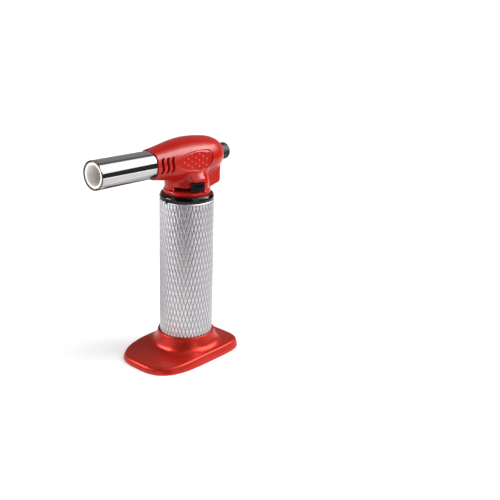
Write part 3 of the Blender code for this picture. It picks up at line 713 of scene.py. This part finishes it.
def surface_nets(field, low, high, step):
    """Vertices and quads of a field's zero surface, one vertex in each cell that it crosses."""
    axes = [np.arange(a, b + step, step) for a, b in zip(low, high)]
    values = field(*np.meshgrid(*axes, indexing="ij"))
    inside = values < 0
    cells = tuple(s - 1 for s in values.shape)

    def corner(array, offset):
        return array[tuple(slice(o, o + c) for o, c in zip(offset, cells))]

    offsets = [(i, j, k) for i in (0, 1) for j in (0, 1) for k in (0, 1)]
    count = sum(corner(inside, o).astype(np.int8) for o in offsets)
    active = (count > 0) & (count < 8)
    index = np.full(cells, -1)
    index[active] = np.arange(active.sum())
    where = np.argwhere(active)
    total = np.zeros((len(where), 3))
    hits = np.zeros(len(where))
    for axis in range(3):
        for o in offsets:
            if o[axis]:
                continue
            far = tuple(v + (k == axis) for k, v in enumerate(o))
            a, b = corner(values, o)[active], corner(values, far)[active]
            crossing = (a < 0) != (b < 0)
            t = np.where(crossing, a / np.where(a == b, 1, a - b), 0)
            place = np.tile(np.array(o, float), (len(where), 1))
            place[:, axis] += t
            total[crossing] += place[crossing]
            hits += crossing
    points = np.array(low) + (where + total / hits[:, None]) * step

    faces = []
    for axis in range(3):
        one, two = [k for k in range(3) if k != axis]
        here = [slice(1, s - 1) for s in values.shape]
        here[axis] = slice(0, values.shape[axis] - 1)
        after = list(here)
        after[axis] = slice(1, values.shape[axis])
        a, b = inside[tuple(here)], inside[tuple(after)]
        edges = np.argwhere(a != b)
        starts = a[tuple(edges.T)]
        node = edges + np.array([0 if k == axis else 1 for k in range(3)])
        quads = []
        for shift_one, shift_two in ((0, 0), (1, 0), (1, 1), (0, 1)):
            cell = node.copy()
            cell[:, one] -= shift_one
            cell[:, two] -= shift_two
            quads.append(index[tuple(cell.T)])
        quads = np.stack(quads, 1)
        flip = starts if axis != 1 else ~starts
        quads[flip] = quads[flip][:, ::-1]
        faces.append(quads[:, ::-1])
    return points, np.concatenate(faces)


def field_slope(field, points, reach=0.03):
    """The field's gradient at each point."""
    slope = np.zeros_like(points)
    for k in range(3):
        step = np.zeros(3)
        step[k] = reach
        slope[:, k] = (field(*(points + step).T) - field(*(points - step).T)) / (2 * reach)
    return slope


def make_shell(side, word):
    """One half of the head, with its surface settled on the field and its normals read from it."""

    def half(x, y, z):
        return np.maximum(shell_field(x, y, z), SPLIT_GAP - side * x)

    reach = SHELL_HIGH[0] + 1.2
    low = [-0.8 if side > 0 else -reach, FRONT_Y - 1.0, NECK_BOTTOM - 1.0]
    high = [reach if side > 0 else 0.8, BACK_Y + 1.0, BARREL_Z + 15.0]
    points, faces = surface_nets(half, low, high, CELL)
    for _ in range(3):
        slope = field_slope(half, points)
        size = np.maximum((slope**2).sum(1), 0.2)
        move = (half(*points.T) / size)[:, None] * slope
        points = points - np.clip(move, -0.25, 0.25)
    normals = field_slope(half, points)
    normals /= np.maximum(np.linalg.norm(normals, axis=1), 1e-6)[:, None]
    piece = mesh_object(f"moulded_shell_{word}", points, faces.tolist(), RED_GLOSS, normals)
    finish_piece(piece, "torch", f"head_shell_{word}")


def make_grip_dots():
    """Small domes on the two grips, in staggered columns."""
    sides, levels = 16, 5
    points, faces = [], []
    for side in (-1, 1):
        for count, y in DOT_COLUMNS:
            for k in range(count):
                z = BARREL_Z + DOT_RISE + (k - (count - 1) / 2) * DOT_SPACING
                barrel = np.interp(y, BARREL_SHAPE[:, 0], BARREL_SHAPE[:, 1]) - grip_step(y)
                surface = min(grip_flat(y), math.sqrt(barrel**2 - (z - BARREL_Z)**2))
                start = len(points)
                for level in range(levels + 1):
                    t = math.pi / 2 * level / levels
                    out = surface + DOT_HEIGHT * math.sin(t) - (0 if level else DOT_ROOT)
                    r = DOT_R * (math.cos(t) if level else 1.02)
                    for j in range(sides):
                        a = 2 * math.pi * j / sides
                        points.append((side * out, y + r * math.cos(a), z + r * math.sin(a)))
                        if level == levels:
                            break
                top = start + levels * sides
                ring = grid_faces(levels, sides, start=start)
                ring += [(top - sides + j, top - sides + (j + 1) % sides, top)
                         for j in range(sides)]
                ring.append(tuple(start + j for j in range(sides))[::-1])
                faces += ring if side > 0 else [face[::-1] for face in ring]
    piece = mesh_object("grip_dots", points, faces, RED_DOT_HIGHLIGHT)
    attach(piece, "torch")


# ---------------- handle and ring

DIAMONDS = 45
DIAMOND_HEIGHT = 8.8
ROWS_PER_DIAMOND = 8  # cells along one side of a diamond
GROOVE_DEPTH = 0.24
GROOVE_SHARES = (1.0, 0.16, 0.03)  # of the depth, by cells away from the groove's middle
LATTICE_SHIFT = -2  # rows that the diamonds are shifted by along the sleeve
PLAIN_EDGE = 0.85  # height of the sleeve's plain upper edge
SLEEVE_WALL = 0.8
KEY_DEGREES = -2.0  # round the axis from the front, for the ring's key and the sleeve's notch
KEY_HALF = 0.8
NOTCH_HALF_DEGREES, NOTCH_DEPTH = 3.2, 1.7


def groove_share(column, row):
    """Depth of the crossed grooves at a place on the lattice, from 0 to 1."""
    row += LATTICE_SHIFT
    one, two = (column + row) // 2 % ROWS_PER_DIAMOND, (column - row) // 2 % ROWS_PER_DIAMOND
    away = min(one, two, ROWS_PER_DIAMOND - one, ROWS_PER_DIAMOND - two)
    return GROOVE_SHARES[away] if away < len(GROOVE_SHARES) else 0.0


def make_knurled_sleeve():
    """The sleeve: two families of helical grooves, a plain edge at the top, and the key notch."""
    bottom, top = HANDLE_LOW[2], HANDLE_HIGH[2]
    columns = DIAMONDS * ROWS_PER_DIAMOND
    row_height = DIAMOND_HEIGHT / (2 * ROWS_PER_DIAMOND)
    rows = int((top - bottom) / row_height) - 2
    start = top - PLAIN_EDGE - rows * row_height
    points, grooves = [], []

    def add(radius, half_steps, height, share=0.0):
        angle = math.pi * half_steps / columns
        points.append((radius * math.sin(angle), -radius * math.cos(angle), height))
        grooves.append(share)

    for r in range(rows + 1):
        for c in range(r % 2, 2 * columns, 2):
            share = groove_share(c, r)
            add(HANDLE_R - 0.02 - GROOVE_DEPTH * share, c, start + r * row_height, share)
    for radius, height, notched in (
            (HANDLE_R - 0.12, top - 0.8, False), (HANDLE_R - 0.12, top - 0.15, True),
            (HANDLE_R - 0.25, top, True), (HANDLE_R - SLEEVE_WALL, top, True),
            (HANDLE_R - SLEEVE_WALL, bottom, False), (HANDLE_R - 0.2, bottom, False)):
        for c in range(rows % 2, 2 * columns, 2):
            off = abs((180 * c / columns - KEY_DEGREES + 180) % 360 - 180)
            add(radius, c, height - (NOTCH_DEPTH if notched and off < NOTCH_HALF_DEGREES else 0))

    faces = []
    for r in range(rows):
        low, high = r * columns, (r + 1) * columns
        for k in range(columns):
            k1 = (k + 1) % columns
            if r % 2:  # the ring above is half a step back
                faces.append((low + k, high + k1, high + k))
                faces.append((low + k, low + k1, high + k1))
            else:
                faces.append((low + k, low + k1, high + k))
                faces.append((low + k1, high + k1, high + k))
    faces += grid_faces(7, columns, start=rows * columns)
    last = (rows + 6) * columns
    for k in range(columns):
        k1 = (k + 1) % columns
        faces.append((last + k, last + k1, k1, k))
    piece = mesh_object("knurled_sleeve", points, faces, KNURL)
    attribute = piece.data.attributes.new("groove", "FLOAT", "POINT")
    attribute.data.foreach_set("value", np.array(grooves, np.float32))
    finish_piece(piece, "torch", "handle_sleeve")


def make_ring():
    """The glossy black ring, with its key in the sleeve's notch."""
    sides = 144
    low, top = RING_LOW[2], RING_HIGH[2]
    outer = HANDLE_R - 1.1
    seat = HANDLE_HIGH[2] + 0.25
    profile = rounded([
        (15.4, low), (outer, low), (outer, seat, 0.05), (16.95, seat, 0.8), (17.75, seat + 1.8, 1.8),
        (16.7, top - 0.1, 1.6), (15.7, top, 0.5), (15.4, top - 0.6, 0.3),
    ], 0.2, steps=7)
    points = turned_points(profile, sides)
    faces = grid_faces(len(profile), sides, wrap_rows=True) + bar_faces(2, 4, len(points))
    angle = math.radians(KEY_DEGREES)
    out = np.array((math.sin(angle), -math.cos(angle), 0))
    across = np.array((math.cos(angle), math.sin(angle), 0))
    root, tip = 15.8, HANDLE_R - 0.05
    for height in (HANDLE_HIGH[2] - 1.45, seat + 0.5):
        for reach, side in ((root, -1), (root, 1), (tip, 1), (tip, -1)):
            points.append(out * reach + across * side * KEY_HALF + (0, 0, height))
    piece = mesh_object("gloss_ring", points, faces, BLACK_GLOSS)
    outward(piece)
    finish_piece(piece, "torch", "collar_ring")


# ---------------- stand

STAND_DIRECTIONS = 160
STAND_ANGLES = np.arange(STAND_DIRECTIONS) * 2 * np.pi / STAND_DIRECTIONS
STAND_WIDEST_Y = -8.0
STAND_POWERS = (3.0, 5.5)  # of the superellipse in front of the widest place and behind it
RIM_HEIGHT, RIM_RISE = 4.5, 1.9  # at the front, and how much higher it is at the widest place
RIM_SLOPE = 0.7  # how far the rim leans in
RIM_EDGE = 2.0  # radius of its upper edge
COLLAR_R, COLLAR_TOP = 18.9, STAND_HIGH[2]
SKIRT_SPREAD = 2.9  # how far the steep skirt reaches out from the collar
POCKET_WALL = HANDLE_R + 0.3
PORT_R = 12.0


def stand_reach(inset):
    """How far the stand's outline, moved in by inset, lies in each direction from the axis."""
    half = STAND_HIGH[0] - inset
    front = STAND_WIDEST_Y - STAND_LOW[1] - inset
    back = STAND_HIGH[1] - STAND_WIDEST_Y - inset
    near, far = np.zeros(STAND_DIRECTIONS), np.full(STAND_DIRECTIONS, 80.0)
    for _ in range(34):
        middle = (near + far) / 2
        x, y = middle * np.cos(STAND_ANGLES), middle * np.sin(STAND_ANGLES) - STAND_WIDEST_Y
        power = np.where(y < 0, *STAND_POWERS)
        inside = np.abs(x / half) ** power + np.abs(y / np.where(y < 0, front, back)) ** power < 1
        near, far = np.where(inside, middle, near), np.where(inside, far, middle)
    return near


def make_stand():
    """The foot: a rounded rim, a gently sloping top that sweeps up into a bell round the handle,
    a thin lip, the pocket with its ledge and port, and the hollow underside."""
    cosines, sines = np.cos(STAND_ANGLES), np.sin(STAND_ANGLES)
    rim = RIM_HEIGHT + RIM_RISE * ease(stand_reach(0.0) * sines, -46.0, STAND_WIDEST_Y)
    rows = []

    def ring(reach, height):
        rows.append(np.stack(np.broadcast_arrays(reach * cosines, reach * sines, height), 1))

    def skirt(spread):
        """The skirt round the handle: a circle at the lip that squares off as it spreads."""
        power = 2.0 + 0.7 * min(spread / 2.7, 1.0)
        return (COLLAR_R + spread) / (np.abs(cosines)**power + np.abs(sines)**power)**(1 / power)

    def skirt_height(spread):
        flare = 3.0 * math.exp(-spread / 2.0)
        return rim + 0.1 + flare + (COLLAR_TOP - 4.1 - rim) * math.exp(-spread / 0.9)

    for inset, height in ((0.45, 0.0), (0.12, 0.1), (0.0, 0.45), (RIM_SLOPE / 2, rim * 0.5)):
        ring(stand_reach(inset), height)
    for k in range(8):
        t = math.pi / 2 * k / 7
        ring(stand_reach(RIM_SLOPE + RIM_EDGE * (1 - math.cos(t))),
             rim - RIM_EDGE * (1 - math.sin(t)))
    top_reach = stand_reach(RIM_SLOPE + RIM_EDGE)
    for k in range(1, 12):
        t = k / 12
        ring(top_reach + (skirt(SKIRT_SPREAD) - top_reach) * t,
             rim + (skirt_height(SKIRT_SPREAD) - rim) * t**1.5)
    for k in range(15):
        spread = SKIRT_SPREAD * (1 - k / 15)**1.5
        ring(skirt(spread) + 0.05, np.minimum(skirt_height(spread), COLLAR_TOP - 0.5))
    for reach, height in (
            (COLLAR_R, COLLAR_TOP - 0.3), (COLLAR_R - 0.2, COLLAR_TOP - 0.06),
            (COLLAR_R - 0.45, COLLAR_TOP), (POCKET_WALL + 0.25, COLLAR_TOP - 0.02),
            (POCKET_WALL + 0.02, COLLAR_TOP - 0.3), (POCKET_WALL, COLLAR_TOP - 1.0),
            (POCKET_WALL, 5.2), (POCKET_WALL - 0.2, 5.0), (PORT_R + 0.3, 5.0), (PORT_R, 4.7),
            (PORT_R, 3.5), (PORT_R + 0.3, 3.2), (19.0, 3.2), (19.3, 3.5), (19.35, 6.0)):
        ring(reach, height)
    ring(np.minimum(top_reach * 0.5 + 11.0, top_reach - 1.2), rim - 1.2)
    for inset, height in ((3.0, rim - 1.9), (2.5, rim - 2.3), (2.2, 0.2), (2.0, 0.0)):
        ring(stand_reach(inset), height)
    faces = grid_faces(len(rows), STAND_DIRECTIONS, wrap_rows=True)
    piece = mesh_object("foot_moulding", np.concatenate(rows), faces, RED_SATIN)
    finish_piece(piece, "torch", "stand")


# ---------------- burner, seen through the mouth

def make_nozzle():
    """The polished sleeve with its rolled mouth, the ceramic ring and the pipe inside them."""

    def add(name, node, finish, slot, sides, profile, ripple=None):
        points = turned_points(profile, sides, "Y", (0, 0, BARREL_Z), ripple)
        faces = grid_faces(len(profile), sides, wrap_rows=True)
        finish_piece(mesh_object(name, points, faces, finish), "torch", node)

    back = NOZZLE_HIGH[1]
    bore = NOZZLE_R - 0.62
    add("burner_sleeve", "nozzle_sleeve", CHROME, "polished_steel", 160, rounded([
        (bore, back), (bore, MOUTH_Y + 1.2), (bore + 0.05, MOUTH_Y, 0.25), (NOZZLE_R, MOUTH_Y, 0.45),
        (NOZZLE_R, MOUTH_Y + 1.2), (NOZZLE_R, back),
    ], 0.12, steps=5))

    def fired(radius, height, angle):
        return radius + 0.03 * math.sin(5 * angle + 0.4 * height) * math.sin(3 * angle + 1.3)

    outer, inner = LINER_HIGH[0], 5.9
    front, rear = LINER_LOW[1], LINER_HIGH[1]
    add("liner_ring", "ceramic_liner", CERAMIC, "ceramic", 128, rounded([
        (inner, rear), (inner, front + 1.4), (inner + 0.25, front, 0.7), (outer - 0.35, front, 0.45),
        (outer - 0.35, front + 1.6), (outer, front + 1.8), (outer, rear),
    ], 0.2, steps=6), fired)

    outer, inner = TUBE_HIGH[0], 5.1
    front, rear = TUBE_LOW[1], TUBE_HIGH[1]
    add("burner_pipe", "burner_tube", STEEL, "plain_steel", 96, rounded(
        [(inner, rear), (inner, front), (outer, front), (outer, rear)], 0.15, steps=3))


BUTTON_R, BUTTON_EDGE_R = 5.5, 0.9
BUTTON_DOME = 0.25  # how far the end face bulges
BUTTON_FLUTES, FLUTE_DEPTH = 40, 0.09
BUTTON_HOLLOW_R, BUTTON_HOLLOW_END = 3.35, 30.0
SKIRT_R, SKIRT_START, SKIRT_END = 6.4, 22.0, 23.4  # the flange that keeps the button in the head
RAMP_HALF = 1.8
RAMP = ((12.4, 124.65), (19.5, 123.9), (23.0, 124.8), (23.0, 127.1), (12.4, 127.1))  # in Y and Z


def make_button():
    """The ignition button: a domed end, a soft edge, fine flutes, and the ramp for the rocker."""
    sides = 240
    flat_r = BUTTON_R - BUTTON_EDGE_R
    edge_y = BUTTON_END - BUTTON_DOME
    profile = [(0.001, BUTTON_END)]
    profile += [(flat_r * k / 12, BUTTON_END - BUTTON_DOME * (k / 12)**2) for k in range(1, 13)]
    for k in range(1, 9):
        t = math.pi / 2 * k / 8
        profile.append((flat_r + BUTTON_EDGE_R * math.sin(t),
                        edge_y - BUTTON_EDGE_R * (1 - math.cos(t))))
    side_y = [edge_y - BUTTON_EDGE_R - 0.5 * k for k in range(1, 20)]
    profile += [(BUTTON_R, y) for y in side_y if y > SKIRT_END + 0.1]
    profile += [(BUTTON_R, SKIRT_END), (SKIRT_R, SKIRT_END), (SKIRT_R, SKIRT_START),
                (BUTTON_HOLLOW_R, SKIRT_START), (BUTTON_HOLLOW_R, BUTTON_HOLLOW_END),
                (0.001, BUTTON_HOLLOW_END)]

    def flutes(radius, height, angle):
        side = ease(radius, 5.0, 5.5) * (1 - ease(radius, 5.55, 5.7))
        side *= ease(height, 24.5, 25.5) * (1 - ease(height, BUTTON_END - 1.6, BUTTON_END - 0.9))
        return radius - FLUTE_DEPTH * side * (0.5 + 0.5 * math.cos(BUTTON_FLUTES * angle))

    points = turned_points(profile[::-1], sides, "Y", (0, 0, BARREL_Z), flutes)
    faces = grid_faces(len(profile), sides) + bar_faces(2, len(RAMP), len(points))
    points += [(x, y, z) for x in (-RAMP_HALF, RAMP_HALF) for y, z in RAMP]
    piece = mesh_object("igniter_button", points, faces, BLACK_GRAINED)
    outward(piece, merge_mm=0.004)
    finish_piece(piece, "button", "ignition_button")


LEVER_RIBS, RIB_STEPS, RIB_DEPTH = 9, 12, 0.45
LEVER_DEGREES = (55.0, 85.0)  # the finger block's ends, round the neck from the front
LEVER_R = (13.75, 16.6)
LEVER_HEIGHT = 5.0
LEVER_ARM_DEGREES = (64.0, 76.0)
LEVER_ARM = ((6.5, 113.42), (14.0, 113.7), (14.0, 114.98), (6.5, 114.98))  # in radius and Z
LEVER_RING = ((4.3, 113.4), (6.8, 113.4), (6.8, 115.0), (4.3, 115.0))


def make_lever():
    """The flame lever: a finger block with upright ribs, its arm and its ring round the valve."""
    points = []

    def bend(profile, degrees):
        angle = math.radians(degrees)
        points.extend((r * math.sin(angle), -r * math.cos(angle), z) for r, z in profile)

    high = LEVER_TOP - 0.3
    low = high - LEVER_HEIGHT
    steps = LEVER_RIBS * RIB_STEPS
    for k in range(steps + 1):
        share = k / steps
        crest = 1 - abs(2 * (share * LEVER_RIBS % 1.0) - 1) ** 3
        fade = (1 - min(1.0, min(share, 1 - share) * 22)) ** 2  # rounds the block's two ends
        outer = LEVER_R[1] - RIB_DEPTH * (1 - crest) - 0.5 * fade
        inset = 0.3 * fade
        profile = rounded([(LEVER_R[0], low + inset), (outer, low + inset),
                           (outer, high - inset), (LEVER_R[0], high - inset)], 0.35, steps=3)
        bend(profile, LEVER_DEGREES[0] + (LEVER_DEGREES[1] - LEVER_DEGREES[0]) * share)
    faces = bar_faces(steps + 1, len(profile))
    ring = rounded(LEVER_RING, 0.15, steps=2)
    faces += grid_faces(len(ring), 64, wrap_rows=True, start=len(points))
    points += turned_points(ring, 64)
    faces += bar_faces(9, len(LEVER_ARM), len(points))
    for k in range(9):
        bend(LEVER_ARM, LEVER_ARM_DEGREES[0] + (LEVER_ARM_DEGREES[1] - LEVER_ARM_DEGREES[0]) * k / 8)
    piece = mesh_object("flame_lever_ribbed", points, faces, BLACK_GLOSS)
    outward(piece)
    finish_piece(piece, "flame_lever", "gas_lever")


# ---------------- springs

COIL_STEPS = 28  # in each turn
END_PITCH = 0.06  # of the closed turns at a spring's ends, as a share of the open turns' pitch


def make_spring(node, axis, wire, turns):
    """A coil spring with closed ends in the place of its CAD node."""
    low, high = box_mm(node)
    k = "XYZ".index(axis)
    one, two = [j for j in range(3) if j != k]
    reach = (high - low)[one] / 2 - wire
    turn = np.linspace(0, turns, turns * COIL_STEPS)
    shares = np.cumsum([0.0, *(ease(turn, 0.0, 1.0) * ease(turn[::-1], 0.0, 1.0) + END_PITCH)])
    route = []
    for step, share in enumerate(shares / shares[-1]):
        angle = 2 * math.pi * step / COIL_STEPS
        place = (low + high) / 2
        place[k] = low[k] + wire + (high[k] - low[k] - 2 * wire) * share
        place[one] += reach * math.cos(angle)
        place[two] += reach * math.sin(angle)
        route.append(place)
    piece = swept(node + "_coil", route, wire, STEEL, sides=10)
    finish_piece(piece, "torch", node)
    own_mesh(piece)


# ---------------- studio

CAMERA_PLACE = (0.34669, AXIS_Y - 0.34599, 0.23777)
CAMERA_AZIMUTH, CAMERA_PITCH, CAMERA_ROLL = 40.184, 18.754, 1.990
CAMERA_LENS = 56.67


def direction(azimuth, elevation):
    """A unit vector; azimuth runs from the front (-Y) towards +X, in degrees."""
    a, e = math.radians(azimuth), math.radians(elevation)
    return Vector((math.sin(a) * math.cos(e), -math.cos(a) * math.cos(e), math.sin(e)))


def make_camera():
    back = direction(CAMERA_AZIMUTH, CAMERA_PITCH)
    level = direction(CAMERA_AZIMUTH + 90, 0)
    up = back.cross(level)
    roll = math.radians(CAMERA_ROLL)
    right = math.cos(roll) * level + math.sin(roll) * up
    above = math.cos(roll) * up - math.sin(roll) * level
    data = bpy.data.cameras.new("camera")
    data.lens = CAMERA_LENS
    data.sensor_width = 36.0
    data.clip_start, data.clip_end = 0.01, 50.0
    camera = linked("camera", data)
    turn = Matrix((right, above, back)).transposed().to_4x4()
    turn.translation = Vector(CAMERA_PLACE)
    camera.matrix_world = turn
    SCENE.camera = camera


def area_light(name, centre, along, size, width, radiance, target=(0.0, 0.0, 0.1)):
    """A rectangular area light facing the target: size long in the direction of along, and width
    across. Its power follows from the radiance."""
    centre = Vector(centre)
    out = (centre - Vector(target)).normalized()
    along = Vector(along)
    along = (along - out * along.dot(out)).normalized()
    data = bpy.data.lights.new(name, "AREA")
    data.shape = "RECTANGLE"
    data.size, data.size_y = size, width
    data.energy = radiance * math.pi * size * width
    light = linked(name, data)
    turn = Matrix((along, out.cross(along), out)).transposed().to_4x4()
    turn.translation = centre
    light.matrix_world = turn
    light.visible_camera = False


def staged(name, corners, finish):
    """A flat piece of the studio with four corners."""
    mesh = bpy.data.meshes.new(name)
    mesh.from_pydata([tuple(c) for c in corners], [], [(0, 1, 2, 3)])
    mesh.materials.append(finish)
    card = linked(name, mesh)
    return card


def flag(name, corners, shade):
    """A card that only reflections see: it gives the polished parts their dark lines."""
    made = material(name, (0.0, 0.0, 0.0), roughness=1.0, specular=0.0)
    shader = made.node_tree.nodes["Principled BSDF"]
    shader.inputs["Emission Color"].default_value = (shade, shade, shade, 1.0)
    shader.inputs["Emission Strength"].default_value = 1.0
    card = staged(name, corners, made)
    card.visible_camera = False
    card.visible_shadow = False
    card.visible_diffuse = False


def upright(azimuth, distance, width, low, high):
    """Corners of an upright card at a distance from the torch."""
    base = direction(azimuth, 0) * distance
    across = direction(azimuth + 90, 0) * width / 2
    return [base + across * s + Vector((0, 0, z))
            for s, z in ((-1, low), (1, low), (1, high), (-1, high))]


def floor_card(start, end, near, far):
    """Corners of a card on the floor between two azimuths and two distances from the torch."""
    return [direction(azimuth, 0) * distance + Vector((0, 0, 0.001))
            for azimuth, distance in ((start, near), (end, near), (end, far), (start, far))]


STUDIO_GREY = 0.26  # how bright the surroundings are in reflections; the camera sees white
FLOOR_HALF = 30.0


def make_studio():
    world = bpy.data.worlds.new("studio")
    SCENE.world = world
    world.use_nodes = True
    tree = world.node_tree
    background = tree.nodes["Background"]
    seen = tree.nodes.new("ShaderNodeLightPath").outputs["Is Camera Ray"]
    tone = tree.nodes.new("ShaderNodeMapRange")
    tone.inputs["To Min"].default_value = STUDIO_GREY
    tone.inputs["To Max"].default_value = 1.0
    tree.links.new(seen, tone.inputs["Value"])
    tree.links.new(tone.outputs["Result"], background.inputs["Strength"])
    background.inputs["Color"].default_value = (1.0, 0.985, 0.99, 1.0)

    made = material("floor_paper", (0.60, 0.60, 0.60), roughness=0.9)
    n = Nodes(made)
    n.shader.inputs["Emission Color"].default_value = (1.0, 1.0, 1.0, 1.0)
    away = n.add("ShaderNodeVectorMath", Vector=n.places)
    away.operation = "LENGTH"
    far = n.span(away.outputs["Value"], 0.1, 1.6, 0.40, 0.86)
    n.tree.links.new(far, n.shader.inputs["Emission Strength"])
    n.bump(n.noise(220.0, 3.0), 0.02)
    staged("floor", [(FLOOR_HALF * x, FLOOR_HALF * y, 0)
                     for x, y in ((-1, -1), (1, -1), (1, 1), (-1, 1))], made)

    # A wide softbox leans over the torch from the right, with a brighter strip along its top.
    area_light("softbox_right", (0.68, 0.75, 0.70), (0, 1, 0), 2.0, 1.62, 1.15,
               target=(0.0, 0.75, 0.07))
    area_light("softbox_main", (0.68, 0.80, 0.92), (-0.2, 0.46, -0.38), 1.10, 0.66, 8.8,
               target=(0.0, 0.02, 0.13))
    area_light("softbox_left", direction(-38, 20) * 0.85, (1, 0, 0), 0.36, 0.22, 19.0)
    flag("flag_right", upright(139, 0.42, 0.8, 0.0, 0.226), 0.03)
    flag("flag_top", [(-0.26, 0.2, 1.2), (0.0, 0.2, 1.2), (0.0, 2.2, 1.2), (-0.26, 2.2, 1.2)], 0.10)
    near, far = upright(38, 0.15, 0.22, 0.0, 0.0)[:2], upright(38, 0.7, 1.0, 1.1, 1.1)[:2]
    flag("flag_front", [*near, *far[::-1]], 0.04)
    flag("flag_left", floor_card(-30, -125, 0.08, 0.7), 0.55)
    flag("flag_behind", floor_card(75, 178, 0.07, 0.55), 0.92)
    flag("flag_floor", [(-0.2, 0.05, 0.002), (-0.015, 0.05, 0.002), (-0.015, 0.22, 0.002),
                        (-0.2, 0.22, 0.002)], 0.06)


dress_frame()
make_camera()
make_studio()
make_shell(-1, "left")
make_shell(1, "right")
make_grip_dots()
make_knurled_sleeve()
make_ring()
make_stand()
make_nozzle()
make_button()
make_lever()
make_spring("piezo_spring", "Y", 0.28, 6)
make_spring("outlet_valve_spring", "Z", 0.3, 7)
make_spring("fill_valve_spring", "Z", 0.22, 5)

SCENE.view_settings.view_transform = "Standard"
